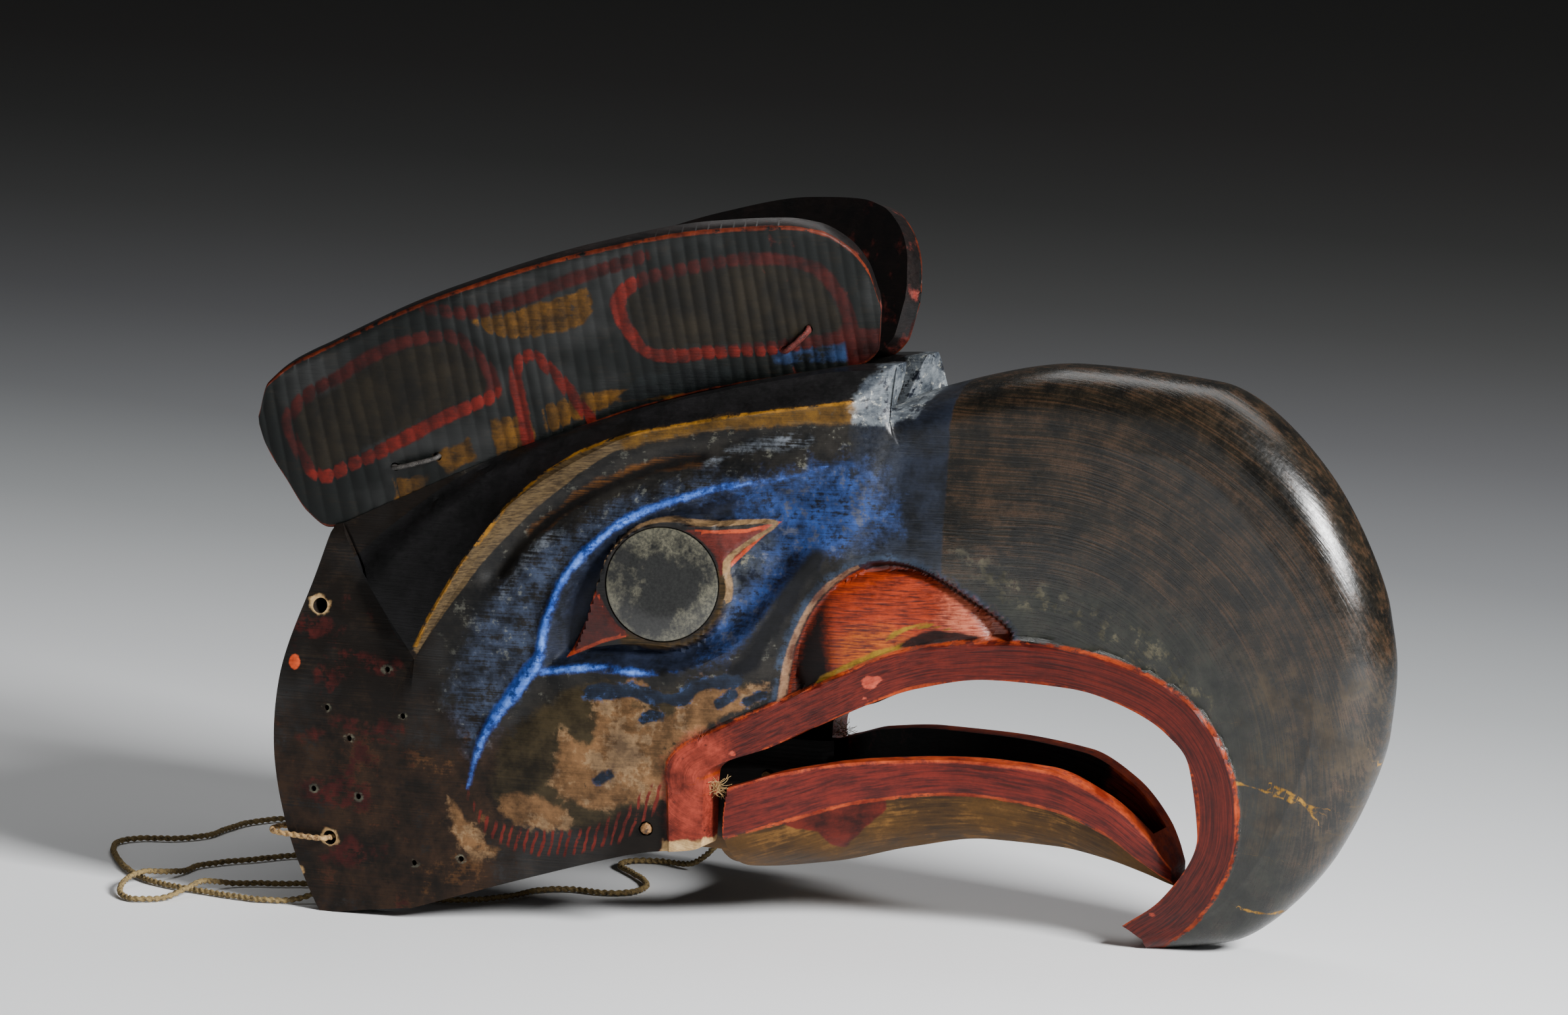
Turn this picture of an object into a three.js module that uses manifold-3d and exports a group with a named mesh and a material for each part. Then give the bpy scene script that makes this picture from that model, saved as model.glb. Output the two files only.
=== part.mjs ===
// Painted wooden eagle mask: a hollow head with a hooked beak, a jaw that swings on two pegs,
// two carved ear boards, mirror eyes, and the cords and thongs that tie it together.
// Millimetres. +X runs towards the beak, +Y to the mask's left, +Z up. It stands on the rear
// corners of its cheeks and on the tip of the hook, at Z = 0.
import * as THREE from "three";
import { mergeVertices } from "three/addons/utils/BufferGeometryUtils.js";
import Module from "manifold-3d";

const wasm = await Module();
wasm.setup();

// Driving dimensions of the carved head
const FIT = 0.3;
const CARVING_STEP = 4.8;
const EYE_STEP = 2.5;
const EYE_ROWS = [3.4, 11];
const EDGE = 1.4;
const BODY_TRIANGLES = 2900;
const HOLLOW_TRIANGLES = 400;
const JAW_TRIANGLES = 400;
const EAR_TRIANGLES = 340;

// Side view of the head as rows from the rear rim to the tip of the hook. Each row is five places
// [x, z]: crest on the centre plane, shoulder, brow's ridge, fullest place, and lower edge.
const ROWS = [
  [[-240, 178], [-253, 200], [-266, 160], [-262, 80], [-256, -1]],
  [[-236, 180], [-249, 201], [-202, 139], [-206, 90], [-205, 6]],
  [[-234.5, 181], [-247.5, 201.5], [-200.5, 140], [-204.5, 90], [-203.5, 6]],
  [[-150, 216], [-150, 246], [-150, 217], [-150, 125], [-150, 23]],
  [[-80, 241], [-80, 270], [-82, 257], [-81, 140], [-80, 43]],
  [[-48, 249], [-49, 278], [-50, 262.5], [-48.5, 135], [-46.5, 49]],
  [[-45, 250], [-46, 279], [-47, 263], [-46.5, 135], [-44.5, 85]],
  [[2, 261], [8, 289], [5, 272], [-4, 160], [-12, 101]],
  [[24, 268], [33, 291], [31, 265], [16, 175], [5, 110]],
  [[28, 270], [36, 262], [38, 255], [20, 175], [8, 111]],
  [[53, 279], [50, 256], [48, 246], [33, 178], [20, 117]],
  [[122, 293], [114, 268], [110, 257], [84, 196], [55, 131]],
  [[196, 288], [183, 265], [176, 254], [138, 200], [91, 137]],
  [[256, 242], [235, 229], [226, 221], [184, 182], [133, 135]],
  [[286, 179], [261, 177], [253, 173], [215, 151], [169, 124]],
  [[290, 148], [265, 149], [258, 147], [225, 132], [184, 114]],
  [[287, 116], [263, 121], [257, 119], [229, 111], [194, 101]],
  [[259, 51], [240, 65], [236, 65], [219, 65], [198, 64]],
  [[208, 6], [203, 22], [201, 23], [190, 26], [177, 29]],
  [[165, -2], [164, 5], [163, 6], [159, 9], [154, 12]],
];
const REAR_BULGE = 20;
const BROW_FRONT = 8;
const MOUTH_ROW = 5;
const EAR_SEAT = { wide: 14, wall: [7, 26], rear: -200 };
// The brow: a raised face over a bevel, cut off at its rear end (between two rows) and its front
const BROW = { rise: 5, sunk: 3, hollow: 1.5, bevel: 0.09, top: 0.33, topRows: [2, 3.2], topWide: 0.1,
  rearRows: [1, 2], frontRows: [7.9, 7.3], frontWide: 0.2, sweep: 4 };

// Half widths along X at mid height, at the brow's ridge, and at the ear ledge
const WIDTH_MIDDLE = [[-290, 106], [-200, 106], [-141, 99], [-85, 93], [-48, 87], [9, 65], [60, 46],
  [110, 37], [170, 32], [280, 26]];
const WIDTH_RIDGE = [[-270, 104], [-200, 104], [-161, 97], [-120, 84], [-80, 70], [-48, 60],
  [-17, 53], [18, 45], [34, 41], [50, 38], [80, 35], [114, 33], [182, 31], [270, 27.5]];
const WIDTH_LEDGE = [[-253, 90], [-208, 84], [-150, 72], [-100, 60], [-62, 51], [-20, 39.5],
  [12, 31], [33, 27]];
const HOOK_TAPER = [[0, 0.47], [12, 0.53], [24, 0.64], [45, 0.78], [70, 0.88], [105, 0.97], [150, 1]];

// Carved lines in the side view
const LIP_INNER = [[146, 6], [158, 15], [176, 28], [189, 44], [198, 64], [197, 92], [184, 114],
  [160, 128], [125, 136], [86, 136], [52, 131], [17, 115], [-18, 98], [-45, 84]];
const LIP = { wide: 20, rise: 3, cornerX: -64, cornerZ: 104, slant: 0.55, tipRows: 3, tipFade: 0.8 };
const BLUE_UPPER = [[-172, 72], [-160, 100], [-143, 122], [-132, 138], [-128, 160], [-118, 184],
  [-102, 202], [-82, 216], [-50, 228], [-20, 235], [8, 243]];
const BLUE_LOWER = [[-130, 133], [-104, 137], [-70, 136], [-46, 142], [-24, 157], [-8, 180], [10, 200]];
const GROOVE = [[-159, 182], [-148, 199], [-131, 215], [-108, 229], [-76, 241], [-46, 249], [-10, 255]];
const FLUTE = { depth: 6, wide: [7, 11], end: 0.75 };
const SOCKET = { depth: 8, edge: 13, front: [-20, 22] };
const CREST = { rise: 2.6, wide: 5, start: 0.11, end: 0.78 };
const FRONT_HOLLOW = { x: -8, z: 165, long: 12, tall: 24, depth: 3 };
const EYE = { x: -69, z: 181, radius: 29, forward: 15, up: 5, height: 0.955, rearFall: 0.42,
  frontFall: 0.28, lid: 1.2 };
const EYE_OUTLINE = [[-118, 143], [-110, 158], [-103, 178], [-97, 196], [-84, 209], [-69, 214],
  [-50, 212], [-17, 213], [-29, 202], [-38, 193], [-36, 178], [-42, 162], [-54, 151], [-70, 148],
  [-88, 149]];
const CHEEK = { x: -108, z: 92, long: 70, tall: 44, turn: 24, rise: 4 };
const NOSTRIL_OUTLINE = [[-10, 122], [-6, 148], [3, 170], [16, 185], [32, 193], [52, 191],
  [76, 178], [100, 156], [60, 140], [20, 122]];
const NOSTRIL = { depth: 9, domeX: 42, domeZ: 147, domeLong: 49, domeTall: 42, domeRise: 10 };

// The lower jaw and its pivot
const PIVOT = { x: -76, z: 56, peg: 6.4, cheekHole: 7.6, jawHole: 7.4 };
const JAW_TOP = [[-113, 58], [-109, 68], [-98, 76], [-44, 77], [-11, 86], [27, 92], [73, 94], [117, 91],
  [145, 79], [166, 60], [177, 42]];
const JAW_BOTTOM = [[-113, 44], [-109, 34], [-98, 27.5], [-40, 27], [-3, 31], [37, 41], [78, 48], [115, 47],
  [140, 43], [161, 37], [177, 31]];
const JAW_WIDTH = [[-120, 81], [-44, 80.5], [-38, 79], [9, 59], [60, 41], [110, 31], [140, 25],
  [160, 19], [172, 13], [177, 8]];
const JAW_WALL = 10;
const JAW_ARM = { rear: -113, width: 69, lipStart: -41.5, lipFoot: 49, slant: 0.16, gap: 57,
  gapEnd: -50 };

// Small pieces
const MIRROR = { thick: 3, sunk: 0.3 };
const PEG = { inner: 54, outer: 94 };
const LACE = { radius: 1.5, hole: 4.6, proud: 2, tail: -17, rear: [[-219, 232], [-197, 238]],
  front: [[-23, 297], [-11, 308]] };
const REAR_HOLE = { x: -257, z: 159, hole: 8 };
const RIM_TIE = { x: -250, z: 39, hole: 7.5, radius: 1.6,
  route: [[-250, 84, 38], [-250, 92, 39], [-250, 103, 39], [-251.5, 109, 39], [-258, 110.5, 39.3],
    [-268, 110, 39.6], [-280, 108.5, 40], [-285, 104, 40], [-285.5, 96, 40], [-281, 88.5, 39.5],
    [-272, 86.5, 39]] };

// Cords of two-ply twisted fibre. The harness cord runs from one rim thong to the other over the
// ground behind the mask. The jaw's cord hangs from the left peg and trails out behind.
const CORD_RADIUS = 1.75;
const HARNESS_ROUTE = [[-268, 83, 38], [-271, 84, 28], [-279, 88, 13], [-296, 94, 3.2],
  [-322, 100, 2], [-352, 98, 2], [-378, 86, 2], [-393, 66, 2], [-396, 44, 2], [-397, 26, 2],
  [-409, 12, 2], [-425, 6, 2], [-433, -6, 2], [-428, -22, 2], [-413, -44, 2], [-394, -66, 2],
  [-371, -85, 2], [-352, -93, 2], [-330, -98, 2], [-308, -102, 2], [-290, -103, 2],
  [-277, -98, 2.2], [-267, -91, 5.5], [-262.5, -86, 13], [-263, -83, 22], [-265, -82.2, 29],
  [-267, -82.5, 36]];
const JAW_CORD_ROUTE = [[-76, 51.5, 56], [-79, 47, 51], [-87, 45, 38], [-103, 50, 18],
  [-122, 60, 4.5], [-144, 68, 2], [-158, 63, 2], [-160, 51, 2], [-148, 38, 2], [-134, 24, 2],
  [-124, 8, 2], [-125, -8, 2], [-138, -15, 2], [-155, -14, 2], [-170, -22, 2], [-178, -42, 2],
  [-194, -60, 2], [-225, -68, 2], [-262, -62, 2], [-288, -60, 2], [-303, -66, 2], [-315, -70, 2],
  [-325, -77, 2.4], [-330, -87, 5], [-332, -97, 6.5], [-334, -109, 5], [-340, -121, 2.2],
  [-353, -129, 2], [-366, -121, 2.2], [-373, -105, 4.8], [-372, -89, 6.5], [-366, -75, 4.6],
  [-363, -60, 2.2], [-363, -44, 2], [-355, -30, 2], [-343, -17, 2], [-331, -2, 2], [-314, 9, 2],
  [-286, 14, 2], [-256, 8, 2]];

// Interpolation: a curve without overshoot through a list of [position, value]
function track(points) {
  const slope = (i) => (points[i + 1][1] - points[i][1]) / (points[i + 1][0] - points[i][0]);
  const tangent = (i) => {
    if (i === 0 || i === points.length - 1) return slope(Math.min(i, points.length - 2));
    const [before, after] = [slope(i - 1), slope(i)];
    return before * after <= 0 ? 0 : (2 * before * after) / (before + after);
  };
  return (t) => {
    const last = points.length - 1;
    if (t <= points[0][0]) return points[0][1];
    if (t >= points[last][0]) return points[last][1];
    let i = 0;
    while (points[i + 1][0] < t) i += 1;
    const span = points[i + 1][0] - points[i][0];
    const f = (t - points[i][0]) / span;
    const [a, b] = [points[i][1], points[i + 1][1]];
    return a * (1 + 2 * f) * (1 - f) ** 2 + b * f * f * (3 - 2 * f)
      + span * (tangent(i) * f * (1 - f) ** 2 - tangent(i + 1) * f * f * (1 - f));
  };
}

const clamp = (x, low = 0, high = 1) => Math.min(high, Math.max(low, x));
const step = (low, high, x) => {
  const t = clamp((x - low) / (high - low));
  return t * t * (3 - 2 * t);
};
const mix = (a, b, t) => a + (b - a) * t;

// A smooth line through side-view points
function carvedLine(points, steps = 80) {
  const curve = new THREE.SplineCurve(points.map(([x, z]) => new THREE.Vector2(x, z)));
  return curve.getPoints(steps).map((p) => [p.x, p.y]);
}

// Distance from a point to a line, positive on the line's left, and the place along it from 0 to 1
function beside(line, x, z) {
  let best = Infinity;
  let side = 1;
  let along = 0;
  for (let i = 0; i + 1 < line.length; i += 1) {
    const [ax, az] = line[i];
    const [dx, dz] = [line[i + 1][0] - ax, line[i + 1][1] - az];
    const t = clamp(((x - ax) * dx + (z - az) * dz) / (dx * dx + dz * dz || 1));
    const gap = Math.hypot(x - ax - t * dx, z - az - t * dz);
    if (gap < best) {
      best = gap;
      side = dx * (z - az) - dz * (x - ax) >= 0 ? 1 : -1;
      along = (i + t) / (line.length - 1);
    }
  }
  return { distance: best * side, along };
}

function inside(outline, x, z) {
  let within = false;
  for (let i = 0, j = outline.length - 1; i < outline.length; j = i, i += 1) {
    const [xi, zi] = outline[i];
    const [xj, zj] = outline[j];
    if (zi > z !== zj > z && x < ((xj - xi) * (z - zi)) / (zj - zi) + xi) within = !within;
  }
  return within;
}

// Distance to a closed outline, positive inside it
function within(outline, x, z) {
  const gap = Math.abs(beside([...outline, outline[0]], x, z).distance);
  return inside(outline, x, z) ? gap : -gap;
}

const widthMiddle = track(WIDTH_MIDDLE);
const widthRidge = track(WIDTH_RIDGE);
const widthLedge = track(WIDTH_LEDGE);
const hookTaper = track(HOOK_TAPER);
const rowTracks = [0, 1, 2, 3, 4].map((place) => [0, 1].map((axis) =>
  track(ROWS.map((row, i) => [i, row[place][axis]]))));

const lipInner = carvedLine(LIP_INNER);
const blueUpper = carvedLine(BLUE_UPPER);
const blueLower = carvedLine(BLUE_LOWER);
const groove = carvedLine(GROOVE);
const eyeOutline = carvedLine([...EYE_OUTLINE, EYE_OUTLINE[0]]);
const nostrilOutline = carvedLine([...NOSTRIL_OUTLINE, NOSTRIL_OUTLINE[0]]);
const tan = (degrees) => Math.tan(THREE.MathUtils.degToRad(degrees));
const eyeHeight = widthMiddle(EYE.x) * EYE.height;

// Height of the eye's own face above the centre plane
const eyeFace = (x, z) => eyeHeight - tan(EYE.forward) * (x - EYE.x) - tan(EYE.up) * (z - EYE.z);

// Carving on the side of the head: how far the surface at a side-view point moves outwards
function carve(x, z, base) {
  let y = base;
  const upper = beside(blueUpper, x, z);
  const lower = beside(blueLower, x, z);
  // Fluted hollow under the brow's bevel
  const flute = beside(groove, x, z);
  const fluteWidth = mix(...FLUTE.wide, step(0, 0.4, flute.along));
  y -= FLUTE.depth * (1 - step(FLUTE.end, 1, flute.along)) * Math.exp(-((flute.distance / fluteWidth) ** 2));
  // Socket between the two ridges, open towards the beak
  const socket = Math.min(-upper.distance, lower.distance);
  y -= SOCKET.depth * (1 - step(...SOCKET.front, x)) * step(0, SOCKET.edge, socket);
  const crests = [upper, lower].map(({ distance, along }) => Math.exp(-((distance / CREST.wide) ** 2))
    * step(0, CREST.start, along) * (1 - step(CREST.end, 1, along)));
  y += CREST.rise * Math.max(...crests);
  // Hollow between the eye's front ridge and the nostril
  y -= FRONT_HOLLOW.depth * Math.exp(-(((x - FRONT_HOLLOW.x) / FRONT_HOLLOW.long) ** 2)
    - ((z - FRONT_HOLLOW.z) / FRONT_HOLLOW.tall) ** 2);
  // Rounded cheek behind the mouth
  const turned = THREE.MathUtils.degToRad(CHEEK.turn);
  const cheekX = (x - CHEEK.x) * Math.cos(turned) + (z - CHEEK.z) * Math.sin(turned);
  const cheekZ = (z - CHEEK.z) * Math.cos(turned) - (x - CHEEK.x) * Math.sin(turned);
  const cheek = Math.hypot(cheekX / CHEEK.long, cheekZ / CHEEK.tall);
  y += CHEEK.rise * (1 - step(0.25, 1.05, cheek));
  // Eye with its corners and lid
  const eye = within(eyeOutline, x, z);
  if (eye > -3) {
    const corner = Math.max(0, Math.hypot(x - EYE.x, z - EYE.z) - EYE.radius - 4);
    const face = eyeFace(x, z) - (x > EYE.x ? EYE.frontFall : EYE.rearFall) * corner;
    y = mix(y, face, step(-EDGE, EDGE, eye)) + EYE.lid * Math.exp(-((eye / 2) ** 2));
  }
  // Nostril: a sunk field with a dome in it
  const nostril = within(nostrilOutline, x, z);
  if (nostril > -2) {
    const dome = Math.hypot((x - NOSTRIL.domeX) / NOSTRIL.domeLong, (z - NOSTRIL.domeZ) / NOSTRIL.domeTall);
    const bulge = NOSTRIL.domeRise * Math.sqrt(1 - Math.min(1, dome) ** 2);
    y += step(-EDGE, EDGE, nostril) * (bulge - NOSTRIL.depth);
  }
  return y;
}

// Raised lip along the mouth and up its rear end
function lipRise(x, z) {
  const band = LIP.wide - Math.abs(beside(lipInner, x, z).distance);
  const corner = Math.min(x - LIP.cornerX, LIP.cornerX + LIP.wide + 2 - x,
    LIP.cornerZ + LIP.slant * (x + 45) - z);
  return step(-EDGE, EDGE, Math.max(band, corner));
}

// How far the brow's face stands raised at a row and a place across it (0 at the ear, 1 at the ridge)
function browRise(row, across) {
  const top = mix(BROW.top, 0, step(...BROW.topRows, row));
  const front = mix(...BROW.frontRows, across);
  return step(...BROW.rearRows, row) * step(top, top + BROW.topWide, across)
    * (1 - step(front, front + BROW.frontWide, row));
}

// One point of the head's outer surface, from row (0 to the last) and place down it (0 to 1)
const CROWN = 0.22;
const RIDGE = 0.34;
const FULLEST = 0.7;
function headPoint(row, down) {
  const [crest, shoulder, ridge, fullest, lower] = rowTracks.map(([x, z]) => [x(row), z(row)]);
  const brow = 1 - step(BROW_FRONT, BROW_FRONT + 1, row);
  const taper = (x, z) => (x > 140 ? hookTaper(z) : 1);
  const ridgeWidth = widthRidge(ridge[0]) * taper(...ridge);
  const beakWidth = widthRidge(shoulder[0]) * 0.97 * taper(...shoulder);
  const ledgeWidth = mix(beakWidth, widthLedge(shoulder[0]), brow);
  if (down <= CROWN) {
    const across = down / CROWN;
    const turn = (across * Math.PI) / 2;
    const y = mix(ledgeWidth * Math.sin(turn), ledgeWidth * across, brow);
    const wall = mix(...EAR_SEAT.wall, step(0, EAR_SEAT.rear, crest[0]));
    const rise = step(ledgeWidth - EAR_SEAT.wide - wall, ledgeWidth - EAR_SEAT.wide, y);
    const reach = mix(1 - Math.cos(turn), rise, brow);
    return [mix(crest[0], shoulder[0], reach), y, mix(crest[1], shoulder[1], reach)];
  }
  const [rear, ahead] = BROW.rearRows;
  const sunk = BROW.sunk * (1 - step(rear, ahead, row));
  const sweep = BROW.sweep * (1 - step(ahead, ahead + 1, row)) * step(0, rear, row);
  if (down <= RIDGE) {
    const t = (down - CROWN) / (RIDGE - CROWN);
    const y = mix(ledgeWidth, ridgeWidth, row < rear ? Math.sqrt(t) : t) + BROW.rise * browRise(row, t)
      - BROW.hollow * brow * Math.sin(Math.PI * t) - sunk * Math.sin((Math.PI * t) / 2);
    return [mix(shoulder[0], ridge[0], t) - sweep * Math.sin(Math.PI * t), y, mix(shoulder[1], ridge[1], t)];
  }
  const upper = Math.min(1, (down - RIDGE) / (FULLEST - RIDGE));
  const under = Math.max(0, (down - FULLEST) / (1 - FULLEST));
  const whole = (upper + under) / 2;
  const bulge = REAR_BULGE * (1 - step(0, 1.6, row)) * 4 * whole * (1 - whole);
  const x = mix(mix(ridge[0], fullest[0], upper), lower[0], under) - bulge;
  const z = mix(mix(ridge[1], fullest[1], upper), lower[1], under);
  const full = widthMiddle(x) * taper(x, z);
  const bevel = BROW.rise * browRise(row, 1) * clamp(1 - upper / BROW.bevel);
  const base = mix(ridgeWidth, full, Math.sin((upper * Math.PI) / 2)) + bevel
    - sunk * (1 - step(0, 0.5, upper));
  const lip = lipRise(x, z);
  const tip = ROWS.length - 1;
  const rise = LIP.rise * (1 - LIP.tipFade * step(tip - LIP.tipRows + 1, tip, row));
  return [x, Math.max(mix(carve(x, z, base), base, lip) + rise * lip, 3), z];
}

// A triangle mesh as plain lists: points [x, y, z] and faces [a, b, c]
const volume = ({ points, faces }) => faces.reduce((sum, [a, b, c]) => {
  const [p, q, r] = [points[a], points[b], points[c]];
  return sum + p[0] * (q[1] * r[2] - q[2] * r[1]) + p[1] * (q[2] * r[0] - q[0] * r[2])
    + p[2] * (q[0] * r[1] - q[1] * r[0]);
}, 0) / 6;

const facingOut = (mesh) => (volume(mesh) < 0
  ? { points: mesh.points, faces: mesh.faces.map(([a, b, c]) => [a, c, b]) } : mesh);

// A closed solid through rings of equally many points, with a flat cap at each end
function loft(rings) {
  const count = rings[0].length;
  const faces = [];
  for (let i = 0; i + 1 < rings.length; i += 1) {
    for (let j = 0; j < count; j += 1) {
      const k = (j + 1) % count;
      const [a, b, c, d] = [i * count + j, i * count + k, (i + 1) * count + k, (i + 1) * count + j];
      faces.push([a, b, c], [a, c, d]);
    }
  }
  const points = rings.flat();
  [0, rings.length - 1].forEach((end) => {
    const ring = rings[end];
    const centre = [0, 1, 2].map((axis) => ring.reduce((sum, p) => sum + p[axis], 0) / count);
    const middle = points.push(centre) - 1;
    for (let j = 0; j < count; j += 1) {
      const [a, b] = [end * count + j, end * count + ((j + 1) % count)];
      faces.push(end === 0 ? [b, a, middle] : [a, b, middle]);
    }
  });
  return facingOut({ points, faces });
}

// The head's outer form: one grid over both sides, closed across its back and underneath
function headForm() {
  const rows = [0];
  for (let i = 0; i + 1 < ROWS.length; i += 1) {
    const reach = Math.max(...ROWS[i].map(([x, z], place) =>
      Math.hypot(ROWS[i + 1][place][0] - x, ROWS[i + 1][place][1] - z)));
    const fine = i + 1 > EYE_ROWS[0] && i < EYE_ROWS[1];
    const cuts = i === MOUTH_ROW ? 2 : Math.max(1, Math.round(reach / (fine ? EYE_STEP : CARVING_STEP)));
    for (let k = 1; k <= cuts; k += 1) rows.push(i + k / cuts);
  }
  const down = [];
  const stops = [[0, CROWN, 12], [CROWN, RIDGE, 9], [RIDGE, FULLEST, 44], [FULLEST, 1, 24]];
  stops.forEach(([from, to, cuts]) => {
    for (let k = 0; k < cuts; k += 1) down.push(mix(from, to, k / cuts));
  });
  down.push(1);
  const half = down.length - 1;
  const ring = (row) => {
    const side = down.map((place) => headPoint(row, place));
    const right = side.slice(1).reverse().map(([x, y, z]) => [x, -y, z]);
    return [...right, ...side];
  };
  const rings = rows.map(ring);
  const count = 2 * half + 1;
  const faces = [];
  for (let i = 0; i + 1 < rings.length; i += 1) {
    for (let j = 0; j < count; j += 1) {
      const k = (j + 1) % count;
      const [a, b, c, d] = [i * count + j, i * count + k, (i + 1) * count + k, (i + 1) * count + j];
      faces.push([a, b, c], [a, c, d]);
    }
  }
  [0, rings.length - 1].forEach((end) => {
    const first = end * count;
    for (let j = 0; j < half; j += 1) {
      const [a, b, c, d] = [first + j, first + j + 1, first + count - 2 - j, first + count - 1 - j];
      const pair = b === c ? [[a, b, d]] : [[a, b, c], [a, c, d]];
      faces.push(...(end === 0 ? pair.map(([p, q, r]) => [p, r, q]) : pair));
    }
  });
  return facingOut({ points: rings.flat(), faces });
}

// Hollow of the head: a tunnel open behind and below, its roof falling towards the beak
const HOLLOW_TOP = track([[-330, 158], [-240, 160], [-150, 192], [-80, 214], [-20, 224], [50, 218],
  [100, 196], [135, 168], [150, 146]]);
const HOLLOW_WIDTH = track([[-330, 91], [-200, 91], [-141, 84], [-85, 78], [-48, 71], [9, 48],
  [45, 34], [110, 22], [140, 14], [150, 6]]);
const HOLLOW = { rear: -330, front: 150, cuts: 40, arc: 14, springing: 100, floor: -40, power: 2.4 };
function hollowForm() {
  const rings = [];
  for (let i = 0; i <= HOLLOW.cuts; i += 1) {
    const x = mix(HOLLOW.rear, HOLLOW.front, i / HOLLOW.cuts);
    const [wide, top] = [HOLLOW_WIDTH(x), HOLLOW_TOP(x)];
    const ring = [[x, -wide, HOLLOW.floor]];
    for (let k = 0; k <= HOLLOW.arc; k += 1) {
      const turn = Math.PI * (1 - k / HOLLOW.arc);
      const [c, s] = [Math.cos(turn), Math.sin(turn)];
      ring.push([x, wide * Math.sign(c) * Math.abs(c) ** (2 / HOLLOW.power),
        HOLLOW.springing + (top - HOLLOW.springing) * s ** (2 / HOLLOW.power)]);
    }
    ring.push([x, wide, HOLLOW.floor]);
    rings.push(ring);
  }
  return loft(rings);
}

// The jaw: a trough, its lip a raised band, open above and behind
const jawTop = track(JAW_TOP);
const jawBottom = track(JAW_BOTTOM);
const jawWidth = track(JAW_WIDTH);
const jawLip = track([[-45, 49], [-11, 60], [27, 71], [73, 76], [117, 71], [146, 59], [162, 46],
  [177, 34]]);
const JAW = { cuts: 64, arc: 22, power: 2.7, lipRise: 2, front: 177 };
function jawRing(x, inset, roof) {
  const [top, bottom] = [jawTop(x), jawBottom(x) + inset];
  const ring = [];
  for (let k = 0; k <= 2 * JAW.arc; k += 1) {
    const turn = (Math.PI * k) / (2 * JAW.arc);
    const [c, s] = [Math.cos(turn), Math.sin(turn)];
    const z = top - (top - bottom) * s ** (2 / JAW.power);
    const start = JAW_ARM.lipStart + JAW_ARM.slant * Math.max(0, z - JAW_ARM.lipFoot);
    const ahead = step(start - 0.8, start + 0.8, x);
    const lip = inset === 0 ? JAW.lipRise * ahead * step(-1, 1, z - jawLip(x)) : 0;
    const wide = mix(Math.min(JAW_ARM.width, jawWidth(x)), jawWidth(x), ahead);
    const width = Math.max(wide - inset, 1);
    ring.push([x, Math.sign(c) * (width * Math.abs(c) ** (2 / JAW.power) + lip), z]);
  }
  if (roof) ring.push([x, ring.at(-1)[1], roof], [x, ring[0][1], roof]);
  return ring;
}
function jawForm() {
  const rings = [];
  for (let i = 0; i <= JAW.cuts; i += 1) {
    rings.push(jawRing(mix(JAW_ARM.rear, JAW.front, i / JAW.cuts), 0, 0));
  }
  return loft(rings);
}
function jawHollow() {
  const rings = [];
  const front = JAW.front - JAW_WALL;
  for (let i = 0; i <= 40; i += 1) {
    const x = mix(JAW_ARM.rear - 10, front, i / 40);
    rings.push(jawRing(x, mix(JAW_WALL, 7, step(100, front, x)), 140));
  }
  return loft(rings);
}

// Ear boards: outline in the side view, and how far the outer face stands from the centre plane
const EAR_TOP = track([[-289, 256], [-282, 274], [-247, 295], [-184, 323.5], [-109, 347.5],
  [-49, 359.5], [-14, 361.5], [1, 359], [13, 351], [21, 338], [24, 322]]);
const EAR_BOTTOM = track([[-289, 252], [-286.5, 241], [-277, 222], [-268, 206], [-257, 198], [-244, 200],
  [-214, 213], [-181, 229], [-141, 247], [-101, 263], [-62, 274.5], [-23, 282], [10, 288], [20, 296],
  [24, 315]]);
const EAR_FOOT = track([[-260, 199], [-214, 215], [-141, 249], [-62, 278], [26, 291]]);
const EAR_STAND = track([[-287, 96], [-244, 88], [-214, 84], [-181, 78], [-141, 69], [-101, 58],
  [-62, 46], [-23, 33], [10, 20.5], [26, 15]]);
const EAR_LEAN = track([[-260, 0.17], [-184, 0.2], [-110, 0.3], [-50, 0.36], [26, 0.36]]);
const EAR = { rear: -288.9, front: 24, cuts: 60, across: 9, thick: 11.5, camber: 1.5 };
const earFace = (x, z) => EAR_STAND(x) + EAR_LEAN(x) * (z - EAR_FOOT(x));
function earNormal(x, z) {
  const slopeX = (earFace(x + 2, z) - earFace(x - 2, z)) / 4;
  return new THREE.Vector3(-slopeX, 1, -EAR_LEAN(x)).normalize();
}
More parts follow.
